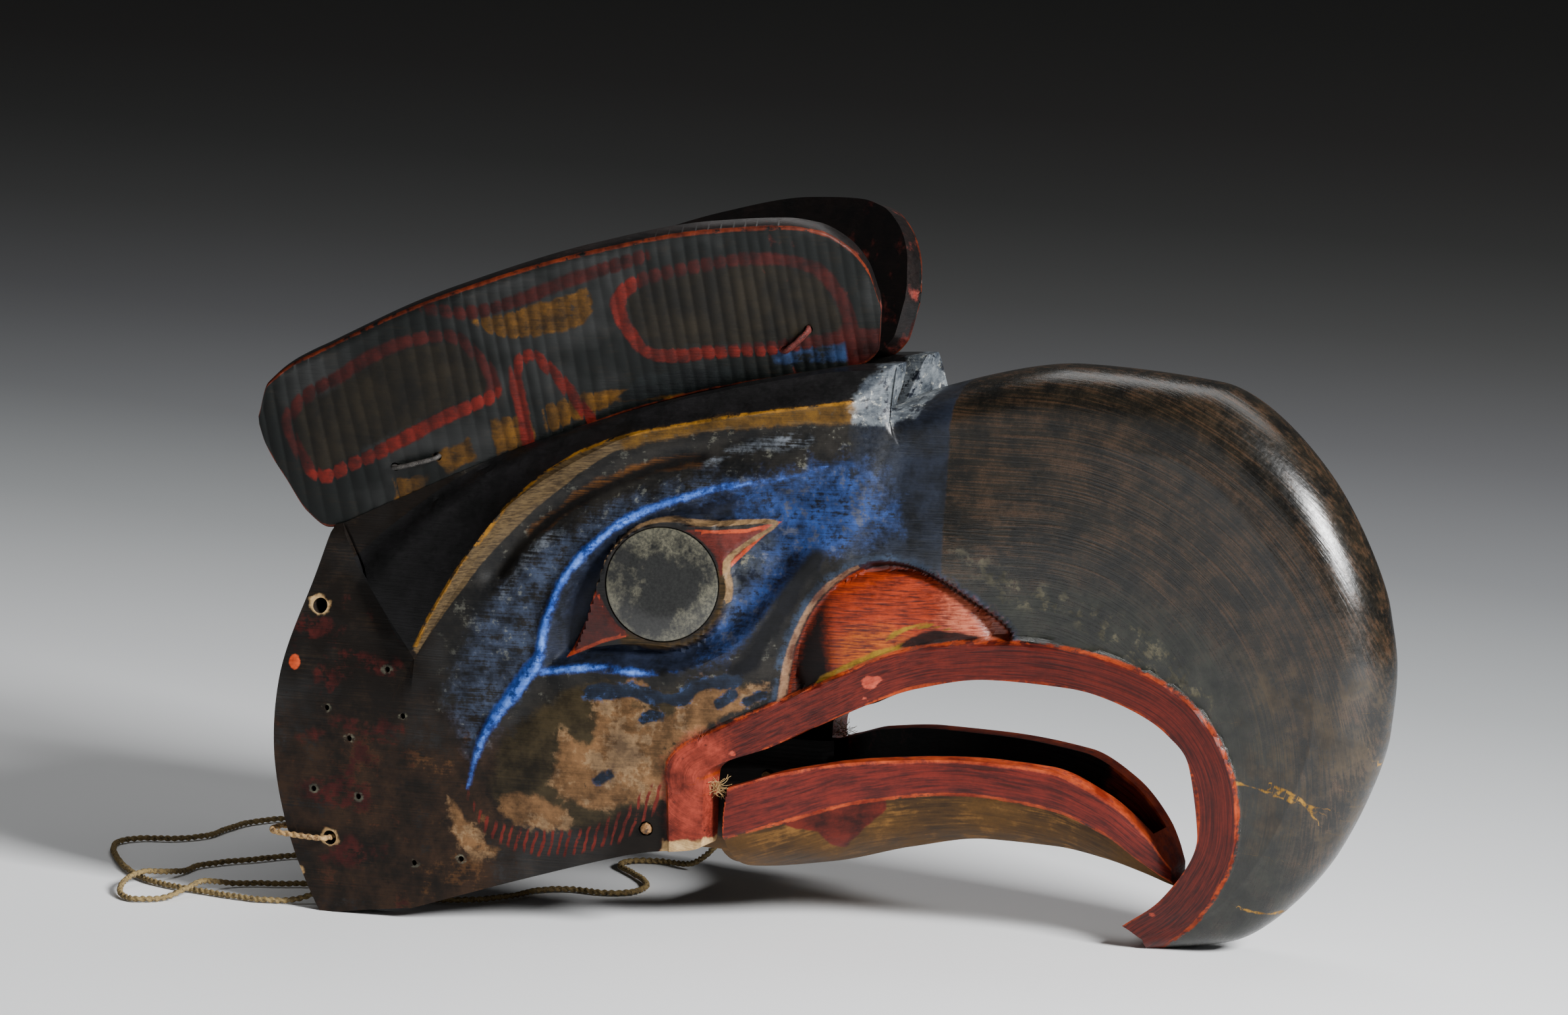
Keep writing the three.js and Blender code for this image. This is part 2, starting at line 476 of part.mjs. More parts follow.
// A point of an ear at a side-view place, a distance out from its outer face
function earPoint(x, z, out) {
  const along = clamp((x - EAR.rear) / (EAR.front - EAR.rear));
  const up = clamp((z - EAR_BOTTOM(x)) / (EAR_TOP(x) - EAR_BOTTOM(x)));
  const bow = EAR.camber * (1 - (2 * up - 1) ** 2) * Math.sin(Math.PI * Math.acos(1 - 2 * along) / Math.PI);
  return new THREE.Vector3(x, earFace(x, z), z).addScaledVector(earNormal(x, z), bow + out);
}
function earForm(side, grow = 0) {
  const rings = [];
  for (let i = 0; i <= EAR.cuts; i += 1) {
    const along = (1 - Math.cos((Math.PI * i) / EAR.cuts)) / 2;
    const x = mix(EAR.rear, EAR.front, along);
    const [low, high] = [EAR_BOTTOM(x) - grow, EAR_TOP(x) + grow];
    const outer = [];
    const inner = [];
    for (let k = 0; k <= EAR.across; k += 1) {
      const z = mix(low, high, k / EAR.across);
      const bow = EAR.camber * (1 - (2 * k / EAR.across - 1) ** 2) * Math.sin(Math.PI * along);
      const n = earNormal(x, z);
      const face = new THREE.Vector3(x, earFace(x, z), z);
      outer.push(face.clone().addScaledVector(n, bow + grow));
      inner.push(face.clone().addScaledVector(n, bow * 0.5 - EAR.thick - grow));
    }
    rings.push([...outer, ...inner.reverse()].map((p) => [p.x, p.y * side, p.z]));
  }
  return loft(rings);
}

// Fewer, larger triangles where a carved surface is nearly flat: edges are closed in the order of
// the error they add, measured by each corner's sum of squared distances to its planes
const SLIVER = 0.015;
function simplify(mesh, target) {
  const points = mesh.points.map((p) => [...p]);
  const faces = mesh.faces.map((f) => [...f]);
  const alive = faces.map(() => true);
  const around = points.map(() => new Set());
  const errors = points.map(() => new Float64Array(10));
  const version = new Int32Array(points.length);
  let left = faces.length;
  const cross = (p, q, r) => {
    const [ux, uy, uz] = [q[0] - p[0], q[1] - p[1], q[2] - p[2]];
    const [vx, vy, vz] = [r[0] - p[0], r[1] - p[1], r[2] - p[2]];
    return [uy * vz - uz * vy, uz * vx - ux * vz, ux * vy - uy * vx];
  };
  faces.forEach((face, id) => {
    const [p, q, r] = face.map((v) => points[v]);
    const n = cross(p, q, r);
    const size = Math.hypot(...n) || 1e-12;
    const [a, b, c] = n.map((v) => v / size);
    const d = -(a * p[0] + b * p[1] + c * p[2]);
    const plane = [a * a, a * b, a * c, a * d, b * b, b * c, b * d, c * c, c * d, d * d];
    face.forEach((v) => {
      around[v].add(id);
      plane.forEach((value, k) => { errors[v][k] += value * size; });
    });
  });
  const errorAt = (e, [x, y, z]) => e[0] * x * x + 2 * e[1] * x * y + 2 * e[2] * x * z + 2 * e[3] * x
    + e[4] * y * y + 2 * e[5] * y * z + 2 * e[6] * y + e[7] * z * z + 2 * e[8] * z + e[9];
  const place = (a, b) => {
    const e = errors[a].map((value, k) => value + errors[b][k]);
    const [p, q] = [points[a], points[b]];
    const choices = [p, q, p.map((value, k) => (value + q[k]) / 2)];
    const det = e[0] * (e[4] * e[7] - e[5] * e[5]) - e[1] * (e[1] * e[7] - e[5] * e[2])
      + e[2] * (e[1] * e[5] - e[4] * e[2]);
    if (Math.abs(det) > 1e-3 * (e[0] + e[4] + e[7]) ** 3 / 27) {
      const [xx, xy, xz, xw, yy, yz, yw, zz, zw] = e;
      choices.push([
        (-xw * (yy * zz - yz * yz) + xy * (yw * zz - yz * zw) - xz * (yw * yz - yy * zw)) / det,
        (xx * (zw * yz - yw * zz) + xw * (xy * zz - yz * xz) + xz * (yw * xz - xy * zw)) / det,
        (xx * (yw * yz - yy * zw) + xy * (xy * zw - yw * xz) - xw * (xy * yz - yy * xz)) / det,
      ]);
    }
    const costs = choices.map((choice) => errorAt(e, choice));
    const best = costs.indexOf(Math.min(...costs));
    const length = Math.hypot(p[0] - q[0], p[1] - q[1], p[2] - q[2]);
    return { cost: costs[best] + 1e-4 * length * length, at: choices[best] };
  };
  const heap = [];
  const push = (item) => {
    let i = heap.push(item) - 1;
    while (i > 0) {
      const up = (i - 1) >> 1;
      if (heap[up].cost <= heap[i].cost) break;
      [heap[up], heap[i]] = [heap[i], heap[up]];
      i = up;
    }
  };
  const pop = () => {
    const top = heap[0];
    const last = heap.pop();
    if (heap.length > 0) {
      heap[0] = last;
      let i = 0;
      for (;;) {
        const [l, r] = [2 * i + 1, 2 * i + 2];
        let least = i;
        if (l < heap.length && heap[l].cost < heap[least].cost) least = l;
        if (r < heap.length && heap[r].cost < heap[least].cost) least = r;
        if (least === i) break;
        [heap[least], heap[i]] = [heap[i], heap[least]];
        i = least;
      }
    }
    return top;
  };
  const neighbours = (v) => {
    const found = new Set();
    around[v].forEach((id) => faces[id].forEach((w) => found.add(w)));
    found.delete(v);
    return found;
  };
  const offer = (a, b) => push({ a, b, va: version[a], vb: version[b], ...place(a, b) });
  points.forEach((_, a) => neighbours(a).forEach((b) => { if (a < b) offer(a, b); }));
  const quality = ([p, q, r]) => {
    const longest = Math.max(...[[p, q], [q, r], [r, p]].map(([c, d]) =>
      Math.hypot(c[0] - d[0], c[1] - d[1], c[2] - d[2])));
    return Math.hypot(...cross(p, q, r)) / (longest * longest + 1e-12);
  };
  const flips = (v, other, at) => [...around[v]].some((id) => {
    const face = faces[id];
    if (face.includes(other)) return false;
    const before = cross(...face.map((w) => points[w]));
    const after = cross(...face.map((w) => (w === v ? at : points[w])));
    const dot = before[0] * after[0] + before[1] * after[1] + before[2] * after[2];
    const now = quality(face.map((w) => points[w]));
    const later = quality(face.map((w) => (w === v ? at : points[w])));
    return dot < 0.35 * Math.hypot(...before) * Math.hypot(...after) || (later < SLIVER && later < now);
  });
  while (left > target && heap.length > 0) {
    const { a, b, va, vb, at } = pop();
    if (version[a] !== va || version[b] !== vb) continue;
    const [nearA, nearB] = [neighbours(a), neighbours(b)];
    if ([...nearA].filter((v) => nearB.has(v)).length !== 2) continue;
    if (flips(a, b, at) || flips(b, a, at)) continue;
    points[a] = at;
    errors[a] = errors[a].map((value, k) => value + errors[b][k]);
    around[b].forEach((id) => {
      const face = faces[id];
      if (face.includes(a)) {
        alive[id] = false;
        left -= 1;
        face.forEach((v) => around[v].delete(id));
      } else {
        face[face.indexOf(b)] = a;
        around[a].add(id);
      }
    });
    around[b].clear();
    version[b] = -1;
    version[a] += 1;
    const ring = neighbours(a);
    ring.forEach((v) => offer(a, v));
  }
  const used = new Map();
  const kept = faces.filter((_, id) => alive[id]).map((face) => face.map((v) => {
    if (!used.has(v)) used.set(v, used.size);
    return used.get(v);
  }));
  return { points: [...used.keys()].map((v) => points[v]), faces: kept };
}

// Plain meshes and three.js geometries as solids that can be cut, and back
const solid = ({ points, faces }) => new wasm.Manifold(new wasm.Mesh({
  numProp: 3,
  vertProperties: new Float32Array(points.flat()),
  triVerts: new Uint32Array(faces.flat()),
}));

function solidOf(geometry) {
  const bare = geometry.clone();
  bare.deleteAttribute("normal");
  bare.deleteAttribute("uv");
  const merged = mergeVertices(bare, 1e-4);
  const place = merged.getAttribute("position");
  const points = Array.from({ length: place.count }, (_, i) =>
    [place.getX(i), place.getY(i), place.getZ(i)]);
  const index = merged.getIndex().array;
  const faces = [];
  for (let i = 0; i < index.length; i += 3) faces.push([index[i], index[i + 1], index[i + 2]]);
  return solid({ points, faces });
}

function geometryOf(cut) {
  const { numProp, vertProperties, triVerts } = cut.getMesh();
  const geometry = new THREE.BufferGeometry();
  const places = new Float32Array((vertProperties.length / numProp) * 3);
  for (let i = 0; i < places.length / 3; i += 1) {
    places.set(vertProperties.slice(i * numProp, i * numProp + 3), i * 3);
  }
  geometry.setAttribute("position", new THREE.BufferAttribute(places, 3));
  geometry.setIndex([...triVerts]);
  geometry.computeVertexNormals();
  return geometry;
}

// A round bar between two points
function bar(from, to, radius, sides = 20) {
  const [a, b] = [new THREE.Vector3(...from), new THREE.Vector3(...to)];
  const geometry = new THREE.CylinderGeometry(radius, radius, a.distanceTo(b), sides);
  const upright = new THREE.Vector3(0, 1, 0);
  geometry.applyQuaternion(new THREE.Quaternion().setFromUnitVectors(upright, b.clone().sub(a).normalize()));
  geometry.translate(...a.add(b).multiplyScalar(0.5).toArray());
  return geometry;
}

function block(size, centre) {
  const geometry = new THREE.BoxGeometry(...size);
  geometry.translate(...centre);
  return geometry;
}

const paint = (color, roughness, metalness = 0) =>
  new THREE.MeshStandardMaterial({ color, roughness, metalness });
const FINISH = {
  head: paint(0x2b2622, 0.5),
  jaw: paint(0x6b3a26, 0.55),
  ear: paint(0x23282a, 0.6),
  mirror: paint(0x8f9289, 0.25, 0.3),
  peg: paint(0x7c5a37, 0.7),
  leather: paint(0x3a3633, 0.75),
  thong: paint(0x9a7a50, 0.8),
  cord: paint(0x8d7b52, 0.85),
};

const mask = new THREE.Group();
function add(name, geometry, finish) {
  const mesh = new THREE.Mesh(geometry, finish);
  mesh.name = name;
  mask.add(mesh);
}

// A round cord or thong along a list of points
function strand(points, radius, steps) {
  const path = new THREE.CatmullRomCurve3(points.map((p) => new THREE.Vector3(...p)), false, "centripetal");
  const section = new THREE.Shape();
  section.absarc(0, 0, radius, 0, Math.PI * 2, false);
  return new THREE.ExtrudeGeometry(section, { steps, extrudePath: path, curveSegments: 4 });
}

const SIDES = { right: -1, left: 1 };
const floor = solidOf(block([800, 400, 60], [0, 0, -30]));
const through = (side, x, z, from, to, diameter) =>
  solidOf(bar([x, side * from, z], [x, side * to, z], diameter / 2));
const earBore = (side, [x, z]) => {
  const [inner, outer] = [earPoint(x, z, -EAR.thick - 4), earPoint(x, z, 4)];
  return solidOf(bar([inner.x, inner.y * side, inner.z], [outer.x, outer.y * side, outer.z],
    LACE.hole / 2, 12));
};

// Head, hollowed, cut flat where it stands, with the ears' seats and its bored holes
let head = solid(simplify(headForm(), BODY_TRIANGLES));
head = head.subtract(solid(simplify(hollowForm(), HOLLOW_TRIANGLES))).subtract(floor);
const faceNormal = (side) => new THREE.Vector3(tan(EYE.forward), side, tan(EYE.up)).normalize();
const mirrorAt = (side, out) => {
  const n = faceNormal(side);
  const centre = new THREE.Vector3(EYE.x, side * eyeHeight, EYE.z).addScaledVector(n, out);
  return [centre.clone().addScaledVector(n, -MIRROR.thick), centre].map((p) => p.toArray());
};
Object.values(SIDES).forEach((side) => {
  head = head.subtract(solid(simplify(earForm(side, FIT), EAR_TRIANGLES)));
  head = head.subtract(through(side, PIVOT.x, PIVOT.z, 60, 120, PIVOT.cheekHole));
  head = head.subtract(through(side, RIM_TIE.x, RIM_TIE.z, 70, 130, RIM_TIE.hole));
  head = head.subtract(through(side, REAR_HOLE.x, REAR_HOLE.z, 70, 130, REAR_HOLE.hole));
  const [back, front] = mirrorAt(side, 0);
  const n = faceNormal(side).multiplyScalar(6).toArray();
  head = head.subtract(solidOf(bar(back, front.map((v, k) => v + n[k]), EYE.radius + FIT, 28)));
});
add("mask_body", geometryOf(head), FINISH.head);

// Jaw with its slanted lip ends, its arms bored for the pegs
let jaw = solid(simplify(jawForm(), JAW_TRIANGLES));
jaw = jaw.subtract(solid(simplify(jawHollow(), JAW_TRIANGLES / 2)));
const gapLength = JAW_ARM.gapEnd - JAW_ARM.rear + 20;
const gapMiddle = JAW_ARM.gapEnd - gapLength / 2;
jaw = jaw.subtract(solidOf(block([gapLength, 2 * JAW_ARM.gap, 160], [gapMiddle, 0, 60])));
Object.values(SIDES).forEach((side) => {
  jaw = jaw.subtract(through(side, PIVOT.x, PIVOT.z, 45, 85, PIVOT.jawHole));
});
add("lower_jaw", geometryOf(jaw), FINISH.jaw);

Object.entries(SIDES).forEach(([name, side]) => {
  let ear = solid(simplify(earForm(side), EAR_TRIANGLES));
  [...LACE.rear, ...LACE.front].forEach((place) => { ear = ear.subtract(earBore(side, place)); });
  add(`ear_${name}`, geometryOf(ear), FINISH.ear);

  const [back, front] = mirrorAt(side, -MIRROR.sunk);
  add(`eye_mirror_${name}`, bar(back.map((v, k) => v + faceNormal(side).toArray()[k] * FIT * 2), front,
    EYE.radius - 0.2, 28), FINISH.mirror);
  add(`jaw_peg_${name}`, bar([PIVOT.x, side * PEG.inner, PIVOT.z], [PIVOT.x, side * PEG.outer, PIVOT.z],
    PIVOT.peg / 2, 14), FINISH.peg);

  // Laces through the ear, tied off behind it
  const lace = ([first, last]) => {
    const spots = [[first, LACE.tail], [first, -EAR.thick - 2], [first, -3], [first, LACE.proud],
      [last, LACE.proud], [last, -3], [last, -EAR.thick - 2], [last, LACE.tail]];
    return strand(spots.map(([[x, z], out]) => {
      const p = earPoint(x, z, out);
      return [p.x, p.y * side, p.z];
    }), LACE.radius, 10);
  };
  add(`ear_rear_lace_${name}`, lace(LACE.rear), FINISH.leather);
  add(`ear_front_tie_${name}`, lace(LACE.front), FINISH.thong);
  add(`rim_thong_${name}`, strand(RIM_TIE.route.map(([x, y, z]) => [x, side * y, z]), RIM_TIE.radius, 14),
    FINISH.thong);
});

add("harness_cord", strand(HARNESS_ROUTE, CORD_RADIUS, 34), FINISH.cord);
add("jaw_cord", strand(JAW_CORD_ROUTE, CORD_RADIUS, 46), FINISH.cord);

export default mask;
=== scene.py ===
"""Painted wooden eagle mask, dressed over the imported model.

A carved head with a hooked beak, a jaw that swings on two pegs, two gouged ear boards, mirror eyes,
leather laces and thongs, and two-ply fibre cords. Sizes are in millimetres until a mesh is made.
"""

import logging
import math
from dataclasses import dataclass, field
from enum import Enum
from typing import Callable, Sequence

import bmesh
import bpy
import numpy as np
from bpy.types import ID, Material, Modifier, Node, NodeSocket, NodeTree, Object
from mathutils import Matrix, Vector


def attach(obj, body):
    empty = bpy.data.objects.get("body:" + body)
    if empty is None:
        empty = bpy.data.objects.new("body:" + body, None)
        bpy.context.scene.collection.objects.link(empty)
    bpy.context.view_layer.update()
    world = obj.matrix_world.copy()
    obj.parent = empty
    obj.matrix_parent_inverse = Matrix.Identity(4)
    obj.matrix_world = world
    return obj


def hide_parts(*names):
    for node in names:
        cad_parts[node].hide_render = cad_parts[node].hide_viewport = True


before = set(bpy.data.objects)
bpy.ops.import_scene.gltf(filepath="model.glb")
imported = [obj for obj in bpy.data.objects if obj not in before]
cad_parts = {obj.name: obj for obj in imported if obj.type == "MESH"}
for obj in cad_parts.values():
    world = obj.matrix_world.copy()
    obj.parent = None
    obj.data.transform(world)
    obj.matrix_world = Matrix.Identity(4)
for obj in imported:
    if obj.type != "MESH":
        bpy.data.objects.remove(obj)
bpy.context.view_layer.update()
LOG = logging.getLogger("eagle_mask")
MM = 0.001
Array = np.ndarray
Curve = Callable[..., Array]
Line = Array
Fields = dict[str, Array]


class Side(Enum):
    """The mask's two sides, by the sign of Y."""

    RIGHT = -1
    LEFT = 1

    @property
    def word(self) -> str:
        """The side's name as the nodes spell it."""
        return self.name.lower()


# Interpolation and distances in the side view
def track(points: Sequence[Sequence[float]]) -> Curve:
    """A curve without overshoot through a list of [position, value].

    Args:
        points: Positions in rising order, each with its value.

    Returns:
        A function of an array of positions.
    """
    x, y = np.array(points, float).T
    slope = np.diff(y) / np.diff(x)
    tangent = np.concatenate(([slope[0]], np.zeros(len(x) - 2), [slope[-1]]))
    same = slope[:-1] * slope[1:] > 0
    total = np.where(same, slope[:-1] + slope[1:], 1.0)
    tangent[1:-1] = np.where(same, 2 * slope[:-1] * slope[1:] / total, 0.0)

    def value(at: Array) -> Array:
        """The curve's value at each position.

        Args:
            at: Positions; those past an end take the end's value.

        Returns:
            An array of values.
        """
        t = np.clip(np.asarray(at, float), x[0], x[-1])
        i = np.clip(np.searchsorted(x, t, side="right") - 1, 0, len(x) - 2)
        span = x[i + 1] - x[i]
        f = (t - x[i]) / span
        ends = y[i] * (1 + 2 * f) * (1 - f) ** 2 + y[i + 1] * f * f * (3 - 2 * f)
        return ends + span * (tangent[i] * f * (1 - f) ** 2 - tangent[i + 1] * f * f * (1 - f))

    return value


def step(low: float, high: float, x: Array) -> Array:
    """A smooth rise from 0 at low to 1 at high."""
    t = np.clip((np.asarray(x, float) - low) / (high - low), 0, 1)
    return t * t * (3 - 2 * t)


def mix(a: Array, b: Array, t: Array) -> Array:
    """The value a share t of the way from a to b."""
    return a + (b - a) * t


def smooth_line(points: Sequence[Sequence[float]], closed: bool = False, steps: int = 80) -> Line:
    """A smooth line through points of any dimension.

    Args:
        points: The points it passes.
        closed: Whether the first point is its end as well.
        steps: How many straight pieces it is drawn with.

    Returns:
        An array of points along it.
    """
    p = np.array(list(points) + ([points[0]] if closed else []), float)
    t = np.linspace(0, len(p) - 1, steps + 1)
    i = np.clip(t.astype(int), 0, len(p) - 2)
    f = (t - i)[:, None]
    p0, p1, p2 = p[np.maximum(i - 1, 0)], p[i], p[i + 1]
    p3 = p[np.minimum(i + 2, len(p) - 1)]
    v0, v1 = (p2 - p0) / 2, (p3 - p1) / 2
    return ((2 * p1 - 2 * p2 + v0 + v1) * f**3 + (-3 * p1 + 3 * p2 - 2 * v0 - v1) * f**2
            + v0 * f + p1)


def beside(line: Line, x: Array, z: Array) -> tuple[Array, Array]:
    """How points of the side view lie to a line.

    Args:
        line: The line's points, [x, z].
        x: X of the points.
        z: Z of the points.

    Returns:
        The distance to the line, positive on its left, and the place along it from 0 to 1.
    """
    best = np.full(np.shape(x), np.inf)
    side = np.ones(np.shape(x))
    along = np.zeros(np.shape(x))
    count = len(line) - 1
    for i in range(count):
        (ax, az), (bx, bz) = line[i], line[i + 1]
        dx, dz = bx - ax, bz - az
        t = np.clip(((x - ax) * dx + (z - az) * dz) / (dx * dx + dz * dz or 1), 0, 1)
        gap = np.hypot(x - ax - t * dx, z - az - t * dz)
        nearer = gap < best
        best = np.where(nearer, gap, best)
        side = np.where(nearer, np.where(dx * (z - az) - dz * (x - ax) >= 0, 1, -1), side)
        along = np.where(nearer, (i + t) / count, along)
    return best * side, along


def inside(outline: Line, x: Array, z: Array) -> Array:
    """How far points of the side view lie inside a closed outline.

    Args:
        outline: The outline's points, [x, z].
        x: X of the points.
        z: Z of the points.

    Returns:
        The distance to the outline, positive inside it.
    """
    within = np.zeros(np.shape(x), bool)
    for (xi, zi), (xj, zj) in zip(outline, np.roll(outline, 1, axis=0)):
        if zi == zj:
            continue
        crosses = ((zi > z) != (zj > z)) & (x < (xj - xi) * (z - zi) / (zj - zi) + xi)
        within ^= crosses
    gap = np.abs(beside(np.vstack([outline, outline[:1]]), x, z)[0])
    return np.where(within, gap, -gap)


# Meshes
def place_object(name: str, data: ID) -> Object:
    """Puts an object in the scene at the origin.

    Args:
        name: The object's name.
        data: Its mesh, camera or light.

    Returns:
        The new object.
    """
    item = bpy.data.objects.new(name, data)
    bpy.context.scene.collection.objects.link(item)
    return item


def mesh_object(name: str, points: Array, faces: Sequence[Sequence[int]],
                scale: float = MM) -> Object:
    """An object at the origin from points and faces, its normals turned outwards.

    Args:
        name: The object's name.
        points: Points, in millimetres unless scale says otherwise.
        faces: Corner indices of each face.
        scale: Metres per unit of the points.

    Returns:
        The new object, linked to the scene.
    """
    mesh = bpy.data.meshes.new(name)
    mesh.from_pydata((np.asarray(points, float) * scale).tolist(), [], [list(f) for f in faces])
    work = bmesh.new()
    work.from_mesh(mesh)
    bmesh.ops.remove_doubles(work, verts=work.verts, dist=1e-7)
    bmesh.ops.recalc_face_normals(work, faces=work.faces)
    if work.calc_volume(signed=True) < 0:
        bmesh.ops.reverse_faces(work, faces=work.faces)
    work.to_mesh(mesh)
    work.free()
    return place_object(name, mesh)


def loft(rings: Array) -> tuple[Array, list[list[int]]]:
    """A closed solid through equal rings, with a flat cap at each end.

    Args:
        rings: Points by ring, by place round it and by axis.

    Returns:
        The solid's points and its faces.
    """
    rows, count = rings.shape[:2]
    faces = []
    for i in range(rows - 1):
        for j in range(count):
            k = (j + 1) % count
            faces.append([i * count + j, i * count + k, (i + 1) * count + k, (i + 1) * count + j])
    points = rings.reshape(-1, 3)
    for end in (0, rows - 1):
        middle = len(points)
        points = np.vstack([points, rings[end].mean(axis=0)])
        faces += [[end * count + j, end * count + (j + 1) % count, middle] for j in range(count)]
    return points, faces


def tube(name: str, path: Array, section: Callable[[Array, Array], Array],
         sides: int = 12) -> Object:
    """A closed tube along a path with a section that may turn as it goes.

    Args:
        name: The object's name.
        path: Points of the middle line, in millimetres.
        section: Radius from the angle round the tube and the distance along it.
        sides: Corners of one section.

    Returns:
        The tube as a mesh object.
    """
    ahead = np.gradient(path, axis=0)
    ahead /= np.linalg.norm(ahead, axis=1)[:, None]
    across = np.cross(ahead[0], (0.0, 0.0, 1.0))
    if np.linalg.norm(across) < 0.1:
        across = np.cross(ahead[0], (1.0, 0.0, 0.0))
    length = np.concatenate(([0.0], np.cumsum(np.linalg.norm(np.diff(path, axis=0), axis=1))))
    angle = np.linspace(0, 2 * math.pi, sides, endpoint=False)
    rings = []
    for place, direction, run in zip(path, ahead, length):
        across = across - direction * np.dot(across, direction)
        across /= np.linalg.norm(across)
        other = np.cross(direction, across)
        radius = section(angle, np.full(sides, run))
        rings.append(place + radius[:, None] * (np.cos(angle)[:, None] * across
                                                + np.sin(angle)[:, None] * other))
    item = mesh_object(name, *loft(np.array(rings)))
    item.data.shade_smooth()
    return item


def length_of(path: Array) -> float:
    """Length of a path in its own unit."""
    return float(np.linalg.norm(np.diff(path, axis=0), axis=1).sum())


def bar(start: Sequence[float], end: Sequence[float], radius: float,
        sides: int = 24) -> Object:
    """A round bar between two points, used as a cutter."""
    path = np.linspace(start, end, 3)
    return tube("cutter", path, lambda angle, run: np.full(len(angle), radius), sides)


def block(size: Sequence[float], centre: Sequence[float]) -> Object:
    """A box used as a cutter.

    Args:
        size: Its length along X, Y and Z.
        centre: Its middle.

    Returns:
        The box as a mesh object.
    """
    corners = np.array([[x, y, z] for x in (-1, 1) for y in (-1, 1) for z in (-1, 1)], float)
    faces = [(0, 1, 3, 2), (4, 6, 7, 5), (0, 4, 5, 1), (2, 3, 7, 6), (0, 2, 6, 4), (1, 5, 7, 3)]
    return mesh_object("cutter", corners * np.array(size) / 2 + np.array(centre), faces)


def apply(item: Object, modifier: Modifier) -> None:
    """Turns what a modifier makes into the object's own mesh.

    Args:
        item: The object.
        modifier: Its only modifier.
    """
    bpy.context.view_layer.update()
    graph = bpy.context.evaluated_depsgraph_get()
    mesh = bpy.data.meshes.new_from_object(item.evaluated_get(graph))
    item.modifiers.remove(modifier)
    item.data = mesh


def cut(item: Object, cutters: Sequence[Object]) -> None:
    """Takes cutters away from an object for good.

    Args:
        item: The object to cut, whose new faces keep the cutter's material slot.
        cutters: Objects to take away, each removed once it has cut.
    """
    for cutter in cutters:
        modifier = item.modifiers.new("cut", "BOOLEAN")
        modifier.operation = "DIFFERENCE"
        modifier.solver = "MANIFOLD"
        modifier.object = cutter
        apply(item, modifier)
        bpy.data.objects.remove(cutter)


def finish_surface(item: Object, sharp_degrees: float = 38) -> None:
    """Smooth shading that keeps the cut edges crisp."""
    item.data.shade_smooth()
    item.data.set_sharp_from_angle(angle=math.radians(sharp_degrees))


def corners_mm(item: Object) -> tuple[Array, Array, Array]:
    """Reads where an object's vertices are.

    Args:
        item: The object.

    Returns:
        X, Y and Z of every vertex, in millimetres.
    """
    flat = np.empty(len(item.data.vertices) * 3)
    item.data.vertices.foreach_get("co", flat)
    return tuple(flat.reshape(-1, 3).T / MM)


def set_fields(item: Object, fields: Fields) -> None:
    """Stores numbers for every vertex, for the paint to read.

    Args:
        item: The object.
        fields: The numbers of each field, by its name.
    """
    for name, values in fields.items():
        attribute = item.data.attributes.new(name, "FLOAT", "POINT")
        attribute.data.foreach_set("value", np.asarray(values, np.float32))


# Side-view lines shared by the carving and its paint, [x, z]
ROWS = (
    ((-240, 178), (-253, 200), (-266, 160), (-262, 80), (-256, -1)),
    ((-236, 180), (-249, 201), (-202, 139), (-206, 90), (-205, 6)),
    ((-234.5, 181), (-247.5, 201.5), (-200.5, 140), (-204.5, 90), (-203.5, 6)),
    ((-150, 216), (-150, 246), (-150, 217), (-150, 125), (-150, 23)),
    ((-80, 241), (-80, 270), (-82, 257), (-81, 140), (-80, 43)),
    ((-48, 249), (-49, 278), (-50, 262.5), (-48.5, 135), (-46.5, 49)),
    ((-45, 250), (-46, 279), (-47, 263), (-46.5, 135), (-44.5, 85)),
    ((2, 261), (8, 289), (5, 272), (-4, 160), (-12, 101)),
    ((24, 268), (33, 291), (31, 265), (16, 175), (5, 110)),
    ((28, 270), (36, 262), (38, 255), (20, 175), (8, 111)),
    ((53, 279), (50, 256), (48, 246), (33, 178), (20, 117)),
    ((122, 293), (114, 268), (110, 257), (84, 196), (55, 131)),
    ((196, 288), (183, 265), (176, 254), (138, 200), (91, 137)),
    ((256, 242), (235, 229), (226, 221), (184, 182), (133, 135)),
    ((286, 179), (261, 177), (253, 173), (215, 151), (169, 124)),
    ((290, 148), (265, 149), (258, 147), (225, 132), (184, 114)),
    ((287, 116), (263, 121), (257, 119), (229, 111), (194, 101)),
    ((259, 51), (240, 65), (236, 65), (219, 65), (198, 64)),
    ((208, 6), (203, 22), (201, 23), (190, 26), (177, 29)),
    ((165, -2), (164, 5), (163, 6), (159, 9), (154, 12)),
)
LIP_INNER = smooth_line([
    (146, 6), (158, 15), (176, 28), (189, 44), (198, 64), (197, 92), (184, 114), (160, 128),
    (125, 136), (86, 136), (52, 131), (17, 115), (-18, 98), (-45, 84)])
BLUE_UPPER = smooth_line([
    (-172, 72), (-160, 100), (-143, 122), (-132, 138), (-128, 160), (-118, 184), (-102, 202),
    (-82, 216), (-50, 228), (-20, 235), (8, 243)])
BLUE_LOWER = smooth_line([
    (-130, 133), (-104, 137), (-70, 136), (-46, 142), (-24, 157), (-8, 180), (10, 200)])
GROOVE = smooth_line([
    (-159, 182), (-148, 199), (-131, 215), (-108, 229), (-76, 241), (-46, 249), (-10, 255)])
EYE_OUTLINE = smooth_line([
    (-118, 143), (-110, 158), (-103, 178), (-97, 196), (-84, 209), (-69, 214), (-50, 212),
    (-17, 213), (-29, 202), (-38, 193), (-36, 178), (-42, 162), (-54, 151), (-70, 148),
    (-88, 149)], closed=True)
NOSTRIL_OUTLINE = smooth_line([
    (-10, 122), (-6, 148), (3, 170), (16, 185), (32, 193), (52, 191), (76, 178), (100, 156),
    (60, 140), (20, 122)], closed=True)
